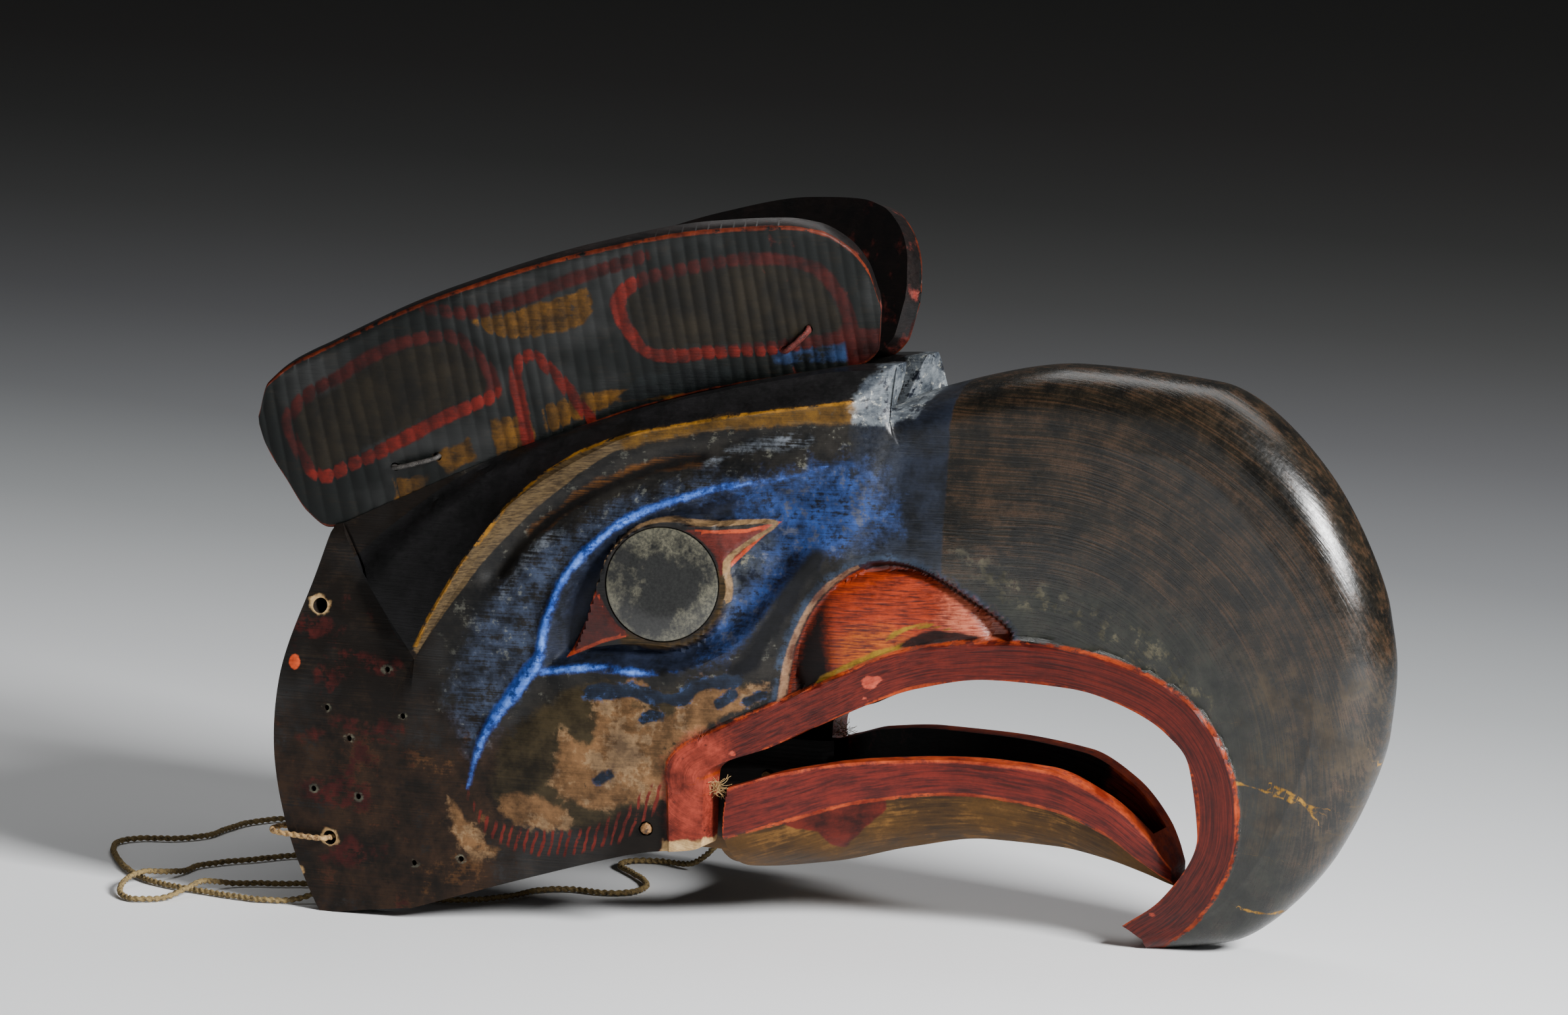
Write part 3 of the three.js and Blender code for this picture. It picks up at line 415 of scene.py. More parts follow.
BROW_EDGE = [(-199, 142), (-191, 158), (-175, 185), (-165, 198), (-150, 218), (-135, 233),
             (-119, 244), (-103, 251), (-86, 256), (-61, 261), (-36, 266), (20, 274)]
PIVOT = (-76.0, 56.0)
FIT = 0.3


@dataclass
class EyeFace:
    """The flat face that carries a mirror, leaning forward and up.

    Attributes:
        x: Place of the mirror's middle along the mask.
        z: Height of the mirror's middle.
        radius: The mirror's radius.
        forward: Degrees that the face turns towards the beak.
        up: Degrees that the face turns upwards.
        height: The middle's distance from the centre plane, as a share of the head's half width.
        rear_fall: How steeply the rear corner of the eye falls away.
        front_fall: How steeply the front corner falls away.
        lid: How far the lid's arris stands up.
    """

    x: float = -69
    z: float = 181
    radius: float = 29
    forward: float = 15
    up: float = 5
    height: float = 0.955
    rear_fall: float = 0.42
    front_fall: float = 0.28
    lid: float = 0.6

    def normal(self, side: Side) -> Array:
        """The face's outward direction.

        Args:
            side: The side of the mask.

        Returns:
            A vector of length 1.
        """
        n = np.array([math.tan(math.radians(self.forward)), side.value,
                      math.tan(math.radians(self.up))])
        return n / np.linalg.norm(n)

    def height_at(self, x: Array, z: Array) -> Array:
        """Distance of the face from the centre plane."""
        return (self.centre_height() - math.tan(math.radians(self.forward)) * (x - self.x)
                - math.tan(math.radians(self.up)) * (z - self.z))

    def centre_height(self) -> float:
        """Distance of the mirror's middle from the centre plane."""
        return float(HeadForm.width_middle(self.x)) * self.height

    def place(self, side: Side, out: float) -> Array:
        """A point on the mirror's axis.

        Args:
            side: The side of the mask.
            out: Distance out from the face.

        Returns:
            The point, X, Y and Z.
        """
        centre = np.array([self.x, side.value * self.centre_height(), self.z])
        return centre + self.normal(side) * out


@dataclass
class HeadForm:
    """The head's outer surface, from row (rear rim to hook) and place down it (crest to edge).

    Attributes:
        crown: Place down a row where the crown ends at the shoulder.
        ridge: Place down a row of the brow's lower ridge.
        fullest: Place down a row where the head is widest.
        rear_bulge: How far the rear rim bows back.
        brow_front: Row where the brow ends.
        plain_beak: Row from which the beak has no carving.
        seat_wide: Width of the ledge that an ear stands on.
        seat_wall: Width of the rise inside the ledge, in front and at the rear.
        seat_rear: X where that rise is at its widest.
        lip_wide: Width of the raised band along the mouth.
        lip_rise: How far the band stands out.
        lip_corner: X and Z of the band's upper rear corner.
        lip_slant: Slant of the band's upper edge from that corner.
        edge: Half the width over which a carved edge turns.
        flute_depth: Depth of the groove over the eye.
        socket_depth: Depth of the hollow round the eye.
        crest_height: Height of the blue ridges.
        crest_half: Half the width of a blue ridge.
        cheek_swell: How far the cheek swells.
        nostril_bulge: How far the nostril's ball swells.
        nostril_sunk: How far the ball's edge is sunk.
        eye: The face that carries the mirror.
    """

    crown: float = 0.22
    ridge: float = 0.34
    fullest: float = 0.7
    rear_bulge: float = 20.0
    brow_front: int = 8
    plain_beak: int = 12
    seat_wide: float = 14.0
    seat_wall: tuple[float, float] = (7.0, 26.0)
    seat_rear: float = -200.0
    lip_wide: float = 20.0
    lip_rise: float = 3.0
    lip_corner: tuple[float, float] = (-64.0, 104.0)
    lip_slant: float = 0.55
    edge: float = 1.1
    flute_depth: float = 6.0
    socket_depth: float = 8.0
    crest_height: float = 3.0
    crest_half: float = 4.4
    cheek_swell: float = 4.0
    nostril_bulge: float = 10.0
    nostril_sunk: float = 9.0
    eye: EyeFace = field(default_factory=EyeFace)
    width_middle = staticmethod(track([
        (-290, 106), (-200, 106), (-141, 99), (-85, 93), (-48, 87), (9, 65), (60, 46), (110, 37),
        (170, 32), (280, 26)]))
    width_ridge = staticmethod(track([
        (-270, 104), (-200, 104), (-161, 97), (-120, 84), (-80, 70), (-48, 60), (-17, 53), (18, 45),
        (34, 41), (50, 38), (80, 35), (114, 33), (182, 31), (270, 27.5)]))
    width_ledge = staticmethod(track([
        (-253, 90), (-208, 84), (-150, 72), (-100, 60), (-62, 51), (-20, 39.5), (12, 31),
        (33, 27)]))
    hook_taper = staticmethod(track([
        (0, 0.47), (12, 0.53), (24, 0.64), (45, 0.78), (70, 0.88), (105, 0.97), (150, 1)]))

    def __post_init__(self) -> None:
        """Makes a curve for each coordinate of the five places of a row."""
        index = np.arange(len(ROWS))
        rows = np.array(ROWS, float)
        self.tracks = [[track(np.stack([index, rows[:, place, axis]], axis=1)) for axis in (0, 1)]
                       for place in range(5)]

    def taper(self, x: Array, z: Array) -> Array:
        """How much narrower the hook is towards its tip."""
        return np.where(x > 140, self.hook_taper(z), 1.0)

    def lip_field(self, x: Array, z: Array) -> Array:
        """How far points lie inside the raised band along the mouth.

        Args:
            x: X of the points.
            z: Z of the points.

        Returns:
            The distance, positive inside the band.
        """
        band = self.lip_wide - np.abs(beside(LIP_INNER, x, z)[0])
        corner_x, corner_z = self.lip_corner
        corner = np.minimum.reduce([x - corner_x, corner_x + self.lip_wide + 2 - x,
                                    corner_z + self.lip_slant * (x + 45) - z])
        return np.maximum(band, corner)

    def brow_rise(self, row: Array, across: Array) -> Array:
        """How far the brow's face stands raised.

        Args:
            row: Place from the rear rim to the hook's tip.
            across: Place from the shoulder, 0, to the brow's lower ridge, 1.

        Returns:
            A share from 0 to 1.
        """
        top = mix(0.33, 0.0, step(2, 3.2, row))
        front = mix(7.9, 7.3, across)
        return (step(1, 2, row) * step(top, top + 0.1, across)
                * (1 - step(front, front + 0.2, row)))

    def carve(self, x: Array, z: Array, base: Array) -> Array:
        """Carves the flute, socket, ridges, cheek, eye and nostril.

        Args:
            x: X of the surface's points.
            z: Z of the points.
            base: Their distance from the centre plane before the carving.

        Returns:
            Their distance after it.
        """
        y = base.copy()
        upper, upper_along = beside(BLUE_UPPER, x, z)
        lower, lower_along = beside(BLUE_LOWER, x, z)
        flute, flute_along = beside(GROOVE, x, z)
        wide = mix(7, 11, step(0, 0.4, flute_along))
        fading = 1 - step(0.75, 1, flute_along)
        y -= self.flute_depth * fading * np.exp(-((flute / wide) ** 2))
        socket = np.minimum(-upper, lower)
        y -= self.socket_depth * (1 - step(-20, 22, x)) * step(0, 13, socket)
        crests = [np.exp(-((gap / self.crest_half) ** 2)) * step(0, 0.11, along)
                  * (1 - step(0.78, 1, along))
                  for gap, along in ((upper, upper_along), (lower, lower_along))]
        y += self.crest_height * np.maximum(*crests)
        y -= 3 * np.exp(-(((x + 8) / 12) ** 2) - ((z - 165) / 24) ** 2)
        turn = math.radians(24)
        cheek_x = (x + 108) * math.cos(turn) + (z - 92) * math.sin(turn)
        cheek_z = (z - 92) * math.cos(turn) - (x + 108) * math.sin(turn)
        y += self.cheek_swell * (1 - step(0.25, 1.05, np.hypot(cheek_x / 70, cheek_z / 44)))
        eye = inside(EYE_OUTLINE, x, z)
        corner = np.maximum(0, np.hypot(x - self.eye.x, z - self.eye.z) - self.eye.radius - 4)
        fall = np.where(x > self.eye.x, self.eye.front_fall, self.eye.rear_fall)
        face = self.eye.height_at(x, z) - fall * corner
        shown = mix(y, face, step(-self.edge, self.edge, eye))
        y = np.where(eye > -8, shown + self.eye.lid * np.exp(-((eye / 1.7) ** 2)), y)
        nostril = inside(NOSTRIL_OUTLINE, x, z)
        dome = np.hypot((x - 42) / 49, (z - 147) / 42)
        bulge = self.nostril_bulge * np.sqrt(1 - np.minimum(1, dome) ** 2)
        y += step(-2.1, 2.1, nostril) * (bulge - self.nostril_sunk)
        return y

    def surface(self, row: Array, down: Array) -> Array:
        """Points of the left side's surface.

        Args:
            row: Place from the rear rim, 0, to the hook's tip.
            down: Place from the crest, 0, to the lower edge, 1.

        Returns:
            An array whose last axis is X, Y, Z.
        """
        crest, shoulder, ridge, fullest, lower = [(x(row), z(row)) for x, z in self.tracks]
        brow = 1 - step(self.brow_front, self.brow_front + 1, row)
        ridge_wide = self.width_ridge(ridge[0]) * self.taper(*ridge)
        beak_wide = self.width_ridge(shoulder[0]) * 0.97 * self.taper(*shoulder)
        ledge = mix(beak_wide, self.width_ledge(shoulder[0]), brow)

        across = np.clip(down / self.crown, 0, 1)
        turn = across * math.pi / 2
        top_y = mix(ledge * np.sin(turn), ledge * across, brow)
        wall = mix(*self.seat_wall, step(0, self.seat_rear, crest[0]))
        rise = step(ledge - self.seat_wide - wall, ledge - self.seat_wide, top_y)
        reach = mix(1 - np.cos(turn), rise, brow)
        top = (mix(crest[0], shoulder[0], reach), top_y, mix(crest[1], shoulder[1], reach))

        sunk = 3 * (1 - step(1, 2, row))
        sweep = 4 * (1 - step(2, 3, row)) * step(0, 1, row)
        t = np.clip((down - self.crown) / (self.ridge - self.crown), 0, 1)
        face_y = (mix(ledge, ridge_wide, np.where(row < 1, np.sqrt(t), t))
                  + 5 * self.brow_rise(row, t) - 1.5 * brow * np.sin(math.pi * t)
                  - sunk * np.sin(math.pi * t / 2))
        face = (mix(shoulder[0], ridge[0], t) - sweep * np.sin(math.pi * t), face_y,
                mix(shoulder[1], ridge[1], t))

        upper = np.clip((down - self.ridge) / (self.fullest - self.ridge), 0, 1)
        under = np.clip((down - self.fullest) / (1 - self.fullest), 0, 1)
        whole = (upper + under) / 2
        bulge = self.rear_bulge * (1 - step(0, 1.6, row)) * 4 * whole * (1 - whole)
        x = mix(mix(ridge[0], fullest[0], upper), lower[0], under) - bulge
        z = mix(mix(ridge[1], fullest[1], upper), lower[1], under)
        full = self.width_middle(x) * self.taper(x, z)
        bevel = 5 * self.brow_rise(row, 1.0) * np.clip(1 - upper / 0.09, 0, 1)
        base = (mix(ridge_wide, full, np.sin(upper * math.pi / 2)) + bevel
                - sunk * (1 - step(0, 0.5, upper)))
        lip = step(-self.edge, self.edge, self.lip_field(x, z))
        raised = self.lip_rise * (1 - 0.8 * step(len(ROWS) - 3, len(ROWS) - 1, row))
        y = np.maximum(mix(self.carve(x, z, base), base, lip) + raised * lip, 3)

        on_top, on_face = down <= self.crown, down <= self.ridge
        return np.stack([np.where(on_top, a, np.where(on_face, b, c))
                         for a, b, c in zip(top, face, (x, y, z))], axis=-1)

    def grid(self, spacing: float, cuts: Sequence[int]) -> tuple[Array, Array]:
        """Rows and places of the mesh.

        Args:
            spacing: Longest step between rows in millimetres, doubled on the plain beak.
            cuts: Steps from crest to shoulder, to ridge, to the fullest place and to the edge.

        Returns:
            The row values and the places down a row.
        """
        corners = np.array(ROWS, float)
        rows = [np.zeros(1)]
        for i in range(len(ROWS) - 1):
            reach = np.linalg.norm(corners[i + 1] - corners[i], axis=1).max()
            pace = spacing if i < self.plain_beak else 2 * spacing
            rows.append(i + np.linspace(0, 1, max(2, round(reach / pace)) + 1)[1:])
        stops = (0, self.crown, self.ridge, self.fullest, 1)
        down = [np.linspace(a, b, n, endpoint=False) for a, b, n in zip(stops, stops[1:], cuts)]
        return np.concatenate(rows), np.concatenate(down + [np.ones(1)])

    def build(self, spacing: float = 1.87, cuts: Sequence[int] = (12, 11, 54, 28)
              ) -> Object:
        """The closed outer form over both sides, before it is hollowed.

        Args:
            spacing: Longest step between rows in millimetres.
            cuts: Steps down a row, as for the grid.

        Returns:
            The form as a mesh object.
        """
        rows, down = self.grid(spacing, cuts)
        side = self.surface(*np.meshgrid(rows, down, indexing="ij"))
        rings = np.concatenate([side[:, :0:-1] * (1, -1, 1), side], axis=1)
        total, count = rings.shape[:2]
        i, j = np.meshgrid(np.arange(total - 1), np.arange(count), indexing="ij")
        k = (j + 1) % count
        faces = np.stack([i * count + j, i * count + k, (i + 1) * count + k, (i + 1) * count + j],
                         axis=-1).reshape(-1, 4).tolist()
        for end in (0, total - 1):
            first = end * count
            for j in range(len(down) - 1):
                last = first + count - 1 - j
                near = first + j
                faces.append([near, near + 1, last] if near + 1 == last - 1
                             else [near, near + 1, last - 1, last])
        return mesh_object("mask_head", rings.reshape(-1, 3), faces)


@dataclass
class HollowForm:
    """The tunnel cut in the head from behind and below, its roof falling towards the beak.

    Attributes:
        rear: X where the cutter starts, behind the mask.
        front: X where the tunnel ends in the beak.
        spring: Height where its walls turn into the roof.
        foot: Height where the cutter ends, below the mask.
        power: How square the roof's section is; 2 is an ellipse.
        scoop: Depth of the adze marks.
    """

    rear: float = -330.0
    front: float = 150.0
    spring: float = 100.0
    foot: float = -40.0
    power: float = 2.4
    scoop: float = 0.7
    top = staticmethod(track([
        (-330, 158), (-240, 160), (-150, 192), (-80, 214), (-20, 224), (50, 218), (100, 196),
        (135, 168), (150, 146)]))
    wide = staticmethod(track([
        (-330, 91), (-200, 91), (-141, 84), (-85, 78), (-48, 71), (9, 48), (45, 34), (110, 22),
        (140, 14), (150, 6)]))

    def build(self, cuts: int = 110, arc: int = 40) -> Object:
        """The tunnel as a cutter, with shallow adze marks.

        Args:
            cuts: Steps along it.
            arc: Steps round its roof.

        Returns:
            The cutter as a mesh object.
        """
        turn = math.pi * (1 - np.linspace(0, 1, arc + 1))
        c, s = np.cos(turn), np.sin(turn)
        rings = []
        for x in np.linspace(self.rear, self.front, cuts + 1):
            wide, top = self.wide(x), self.top(x)
            marks = np.sin(x / 5.0) * np.sin(turn * 9 + x / 23) * step(self.rear, -250, x)
            grown = 1 + self.scoop * marks / 90
            y = wide * np.sign(c) * np.abs(c) ** (2 / self.power) * grown
            z = self.spring + (top - self.spring) * s ** (2 / self.power) * grown
            arch = np.stack([np.full(arc + 1, x), y, z], axis=1)
            rings.append(np.vstack([[x, arch[0, 1], self.foot], arch,
                                    [x, arch[-1, 1], self.foot]]))
        return mesh_object("cutter", *loft(np.array(rings)))


@dataclass
class EarForm:
    """The ear boards: their outline in the side view and how their outer face stands and leans.

    Attributes:
        rear: X of the rear end.
        front: X of the front end.
        thick: Thickness of the board.
        camber: How far the outer face bows out.
        groove_pitch: Width of one gouge groove.
        groove_depth: Depth of a groove.
    """

    rear: float = -288.9
    front: float = 24.0
    thick: float = 11.5
    camber: float = 1.5
    groove_pitch: float = 5.9
    groove_depth: float = 0.85
    top = staticmethod(track([
        (-289, 256), (-282, 274), (-247, 295), (-184, 323.5), (-109, 347.5), (-49, 359.5),
        (-14, 361.5), (1, 359), (13, 351), (21, 338), (24, 322)]))
    bottom = staticmethod(track([
        (-289, 252), (-286.5, 241), (-277, 222), (-268, 206), (-257, 198), (-244, 200),
        (-214, 213), (-181, 229), (-141, 247), (-101, 263), (-62, 274.5), (-23, 282), (10, 288),
        (20, 296), (24, 315)]))
    foot = staticmethod(track([(-260, 199), (-214, 215), (-141, 249), (-62, 278), (26, 291)]))
    stand = staticmethod(track([
        (-287, 96), (-244, 88), (-214, 84), (-181, 78), (-141, 69), (-101, 58), (-62, 46),
        (-23, 33), (10, 20.5), (26, 15)]))
    lean = staticmethod(track([(-260, 0.17), (-184, 0.2), (-110, 0.3), (-50, 0.36), (26, 0.36)]))

    def face(self, x: Array, z: Array) -> Array:
        """Distance of the outer face from the centre plane."""
        return self.stand(x) + self.lean(x) * (z - self.foot(x))

    def normal(self, x: Array, z: Array) -> Array:
        """The outer face's direction on the left ear.

        Args:
            x: X of points of the face.
            z: Z of the points.

        Returns:
            Vectors of length 1, X, Y and Z last.
        """
        slope = (self.face(x + 2, z) - self.face(x - 2, z)) / 4
        n = np.stack([-slope, np.ones(np.shape(slope)), -self.lean(x) * np.ones(np.shape(slope))],
                     axis=-1)
        return n / np.linalg.norm(n, axis=-1, keepdims=True)

    def point(self, x: float, z: float, out: float) -> Array:
        """A point of the left ear.

        Args:
            x: The point's X.
            z: The point's Z.
            out: Distance out from the outer face.

        Returns:
            The point, X, Y and Z.
        """
        along = np.clip((x - self.rear) / (self.front - self.rear), 0, 1)
        up = np.clip((z - self.bottom(x)) / (self.top(x) - self.bottom(x)), 0, 1)
        bow = self.camber * (1 - (2 * up - 1) ** 2) * np.sin(math.acos(1 - 2 * along))
        return np.array([x, self.face(x, z), z]) + self.normal(x, z) * (bow + out)

    def grooves(self, x: Array, z: Array) -> Array:
        """The gouge's scallops, whose lines lean back towards the rear.

        Args:
            x: X of points of the face.
            z: Z of the points.

        Returns:
            Their height above the face, 0 on a ridge and below 0 in a scallop.
        """
        lean = mix(0.1, 0.015, step(-260, -30, x))
        across = x + lean * (z - 300)
        pitch = self.groove_pitch + 0.7 * step(-150, -280, x) - 0.35 * step(-120, 0, x)
        wander = 1.1 * np.sin(across / 37) + 0.8 * np.sin(across / 13 + z / 45)
        scallop = np.abs(np.sin(math.pi * (across + wander) / pitch))
        return self.groove_depth * (scallop - 1) * (0.75 + 0.25 * np.sin(across / 21 + z / 31))

    def build(self, name: str, side: Side, columns: int, outer: int, grow: float = 0.0,
              carved: bool = False) -> Object:
        """One ear board.

        Args:
            name: The object's name.
            side: The side it stands on.
            columns: Steps along it.
            outer: Steps up its outer face.
            grow: Millimetres added all round, for its seat in the head.
            carved: Whether it has bevelled arrises and gouge grooves.

        Returns:
            The board as a closed mesh.
        """
        even = np.linspace(self.rear, self.front, columns + 1)
        ends = self.rear + (self.front - self.rear) * (1 - np.cos(np.linspace(0, math.pi, 31))) / 2
        xs = np.unique(np.concatenate([even, ends[:6], ends[-6:]]).round(4))
        rings = []
        for x in xs:
            along = (x - self.rear) / (self.front - self.rear)
            swell = math.sin(math.pi * math.acos(1 - 2 * along) / math.pi)
            low, high = self.bottom(x) - grow, self.top(x) + grow
            share = np.linspace(0, 1, outer + 1)
            z = mix(low, high, share)
            bow = self.camber * (1 - (2 * share - 1) ** 2) * swell
            ridge = np.full(outer + 1, grow)
            if carved:
                tall = high - low
                inset = min(1.1, tall / 6)
                z[1], z[-2] = low + inset, high - inset
                ridge = self.grooves(x, z) * step(0, 5, np.minimum(z - low, high - z))
                ridge[[0, -1]] = -0.9
            n = self.normal(np.full(outer + 1, x), z)
            base = np.stack([np.full(outer + 1, x), self.face(x, z), z], axis=1)
            front = base + n * (bow + ridge)[:, None]
            back = base + n * (bow * 0.5 - self.thick - grow)[:, None]
            rings.append(np.vstack([front, back[::-2]]))
        return mesh_object(name, *loft(np.array(rings) * (1, side.value, 1)))


@dataclass
class JawForm:
    """The lower jaw: a trough with a raised lip, open above and behind.

    Attributes:
        rear: X of the rear end of its arms.
        front: X of its blunt front.
        wall: Thickness of its wall.
        power: How square its section is; 2 is an ellipse.
        lip_rise: How far the lip stands out.
        arm_width: Half the width over its arms, inside the cheeks.
        lip_start: X where the lip begins at its foot.
        lip_foot: Height of the lip's foot there.
        slant: How much farther forward the lip begins for each millimetre up.
    """

    rear: float = -113.0
    front: float = 177.0
    wall: float = 10.0
    power: float = 2.7
    lip_rise: float = 2.0
    arm_width: float = 69.0
    lip_start: float = -41.5
    lip_foot: float = 49.0
    slant: float = 0.16
    top = staticmethod(track([
        (-113, 58), (-109, 68), (-98, 76), (-44, 77), (-11, 86), (27, 92), (73, 94), (117, 91),
        (145, 79), (166, 60), (177, 42)]))
    bottom = staticmethod(track([
        (-113, 44), (-109, 34), (-98, 27.5), (-40, 27), (-3, 31), (37, 41), (78, 48), (115, 47),
        (140, 43), (161, 37), (177, 31)]))
    wide = staticmethod(track([
        (-120, 81), (-44, 80.5), (-38, 79), (9, 59), (60, 41), (110, 31), (140, 25), (160, 19),
        (172, 13), (177, 8)]))
    lip = staticmethod(track([
        (-45, 49), (-11, 60), (27, 71), (73, 76), (117, 71), (146, 59), (162, 46), (177, 34)]))

    def lip_begin(self, z: Array) -> Array:
        """X where the raised lip begins at a height."""
        return self.lip_start + self.slant * np.maximum(0, z - self.lip_foot)

    def ring(self, x: float, arc: int, inset: float = 0.0, roof: float = 0.0) -> Array:
        """One cross-section, from the left edge under to the right edge.

        Args:
            x: Where it is cut.
            arc: Half the number of steps round it.
            inset: How far inside the outer face it lies.
            roof: Height up to which it is closed above, or 0 at its own edges.

        Returns:
            Its points, X, Y and Z.
        """
        top, bottom = self.top(x), self.bottom(x) + inset
        turn = np.linspace(0, math.pi, 2 * arc + 1)
        c, s = np.cos(turn), np.sin(turn)
        z = top - (top - bottom) * np.abs(s) ** (2 / self.power)
        start = self.lip_begin(z)
        ahead = step(start - 0.8, start + 0.8, x)
        lip = self.lip_rise * ahead * step(-1, 1, z - self.lip(x)) if inset == 0 else 0 * z
        wide = mix(np.minimum(self.arm_width, self.wide(x)), self.wide(x), ahead)
        width = np.maximum(wide - inset, 1)
        ring = np.stack([np.full(len(z), x),
                         np.sign(c) * (width * np.abs(c) ** (2 / self.power) + lip), z], axis=1)
        if roof:
            ring = np.vstack([ring, [x, ring[-1, 1], roof], [x, ring[0, 1], roof]])
        return ring

    def build(self) -> Object:
        """The solid jaw before it is hollowed.

        Returns:
            The jaw as a mesh object.
        """
        xs = np.concatenate([np.linspace(self.rear, -48, 30, endpoint=False),
                             np.linspace(-48, -34, 34, endpoint=False),
                             np.linspace(-34, self.front, 110)])
        return mesh_object("jaw_lower", *loft(np.array([self.ring(x, 44) for x in xs])))

    def hollow(self) -> Object:
        """The trough inside the jaw.

        Returns:
            The cutter as a mesh object.
        """
        front = self.front - self.wall
        rings = [self.ring(x, 30, float(mix(self.wall, 7, step(100, front, x))), 140)
                 for x in np.linspace(self.rear - 10, front, 70)]
        return mesh_object("cutter", *loft(np.array(rings)))


# Finishes
def colour(code: str) -> tuple[float, float, float, float]:
    """A linear colour from an sRGB hex value."""
    shares = [int(code[i:i + 2], 16) / 255 for i in (1, 3, 5)]
    return (*[c / 12.92 if c <= 0.04045 else ((c + 0.055) / 1.055) ** 2.4 for c in shares], 1.0)


def node(tree: NodeTree, kind: str, inputs: dict | None = None,
         **settings: object) -> Node:
    """Adds a node with its settings, and fills or links its inputs.

    Args:
        tree: The tree it goes in.
        kind: The node's type.
        inputs: A value, a node's output or a node, which gives its first output in use, for
            each input by name or index.
        settings: The node's own properties.

    Returns:
        The new node.
    """
    item = tree.nodes.new(kind)
    for key, value in settings.items():
        setattr(item, key, value)
    for key, value in (inputs or {}).items():
        if isinstance(value, Node):
            value = next(output for output in value.outputs if output.enabled)
        if isinstance(value, NodeSocket):
            tree.links.new(value, item.inputs[key])
        else:
            item.inputs[key].default_value = value
    return item


def bare_material(name: str) -> tuple[Material, NodeTree]:
    """Starts a material.

    Args:
        name: The material's name.

    Returns:
        The material and its node tree, with no node in it.
    """
    material = bpy.data.materials.new(name)
    material.use_nodes = True
    material.node_tree.nodes.clear()
    return material, material.node_tree


# Sizes in millimetres of the marks that all the wood shares
BROAD, PATCH, WANDER, SPECK = 52.0, 15.0, 10.0, 2.2


@dataclass(frozen=True)
class Strokes:
    """Brush strokes inside a layer, slanted in the side view.

    Attributes:
        pitch: Millimetres from one stroke to the next.
        slant: Turn of the line across them, in degrees.
        share: Share of the pitch that a stroke covers.
    """

    pitch: float
    slant: float
    share: float

    def part(self, tree: NodeTree, cover: Node,
             wander: Node) -> Node:
        """Parts a coat into its strokes.

        Args:
            tree: The material's nodes.
            cover: Where the coat lies.
            wander: The noise that bends the strokes.

        Returns:
            The node for where the strokes lie.
        """
        turn = math.radians(self.slant)
        half = self.pitch * MM / 2
        place = node(tree, "ShaderNodeTexCoord").outputs["Object"]
        along = node(tree, "ShaderNodeVectorMath", {
            0: place, 1: (math.cos(turn), 0.0, math.sin(turn))}, operation="DOT_PRODUCT")
        bent = node(tree, "ShaderNodeMath", {0: wander, 1: 0.004, 2: along},
                    operation="MULTIPLY_ADD")
        beat = node(tree, "ShaderNodeMath", {0: bent, 1: half}, operation="PINGPONG")
        line = node(tree, "ShaderNodeMapRange", {
            "Value": beat, "From Min": half * self.share * 1.3,
            "From Max": half * self.share * 0.7})
        return node(tree, "ShaderNodeMath", {0: cover, 1: line}, operation="MULTIPLY")


@dataclass(frozen=True)
class PaintLayer:
    """Paint where a field of the mesh is above zero.

    Attributes:
        field: Name of the mesh's field of distances, in millimetres.
        dark: Colour where it is thin or dirty.
        light: Colour where it is full.
        soft: Millimetres over which its edge fades.
        wobble: Millimetres that its edge wanders.
        worn: Share of it that is rubbed away.
        rough: How matt it is.
        flake: Size of a rubbed patch, in millimetres.
        streak: Share of long streaks in where it is rubbed.
        brush: How far its brush marks stand up and darken it.
        band: Half the width of a line painted along the field's zero, or nothing for an area.
        strokes: Separate brush strokes, or none for a full coat.
    """

    field: str
    dark: str
    light: str
    soft: float = 0.5
    wobble: float = 0.8
    worn: float = 0.25
    rough: float = 0.5
    flake: float = 15.0
    streak: float = 0.12
    brush: float = 0.0
    band: float = 0.0
    strokes: Strokes | None = None

    def cover(self, tree: NodeTree, grain: Node,
              noises: dict[float, Node]) -> Node:
        """Nodes for where the coat lies and isn't rubbed away.

        Args:
            tree: The material's nodes.
            grain: Streaks along the wood.
            noises: Noise by its size in millimetres.

        Returns:
            The node that gives the coat's share, from 0 to 1.
        """
        wander, speck = noises[WANDER], noises[SPECK]
        gap = node(tree, "ShaderNodeAttribute", attribute_name=self.field).outputs["Fac"]
        if self.band:
            away = node(tree, "ShaderNodeMath", {0: gap}, operation="ABSOLUTE")
            gap = node(tree, "ShaderNodeMath", {0: self.band, 1: away}, operation="SUBTRACT")
        for noise, reach in ((wander, 4 * self.wobble), (speck, 1.6 * self.soft)):
            even = node(tree, "ShaderNodeMath", {0: noise, 1: 0.5}, operation="SUBTRACT")
            gap = node(tree, "ShaderNodeMath", {0: even, 1: reach, 2: gap},
                       operation="MULTIPLY_ADD")
        area = node(tree, "ShaderNodeMapRange", {
            "Value": gap, "From Min": -self.soft, "From Max": self.soft},
            interpolation_type="SMOOTHSTEP")
        tooth = node(tree, "ShaderNodeMix", {0: 0.2, 2: noises[self.flake], 3: speck})
        tooth = node(tree, "ShaderNodeMix", {0: self.streak, 2: tooth, 3: grain})
        bare = 0.27 + 0.4 * self.worn
        fade = 0.035 + 0.09 * self.streak
        kept = node(tree, "ShaderNodeMapRange", {
            "Value": tooth, "From Min": bare - fade, "From Max": bare + fade},
            interpolation_type="SMOOTHSTEP")
        coat = node(tree, "ShaderNodeMath", {0: area, 1: kept}, operation="MULTIPLY")
        return self.strokes.part(tree, coat, wander) if self.strokes else coat


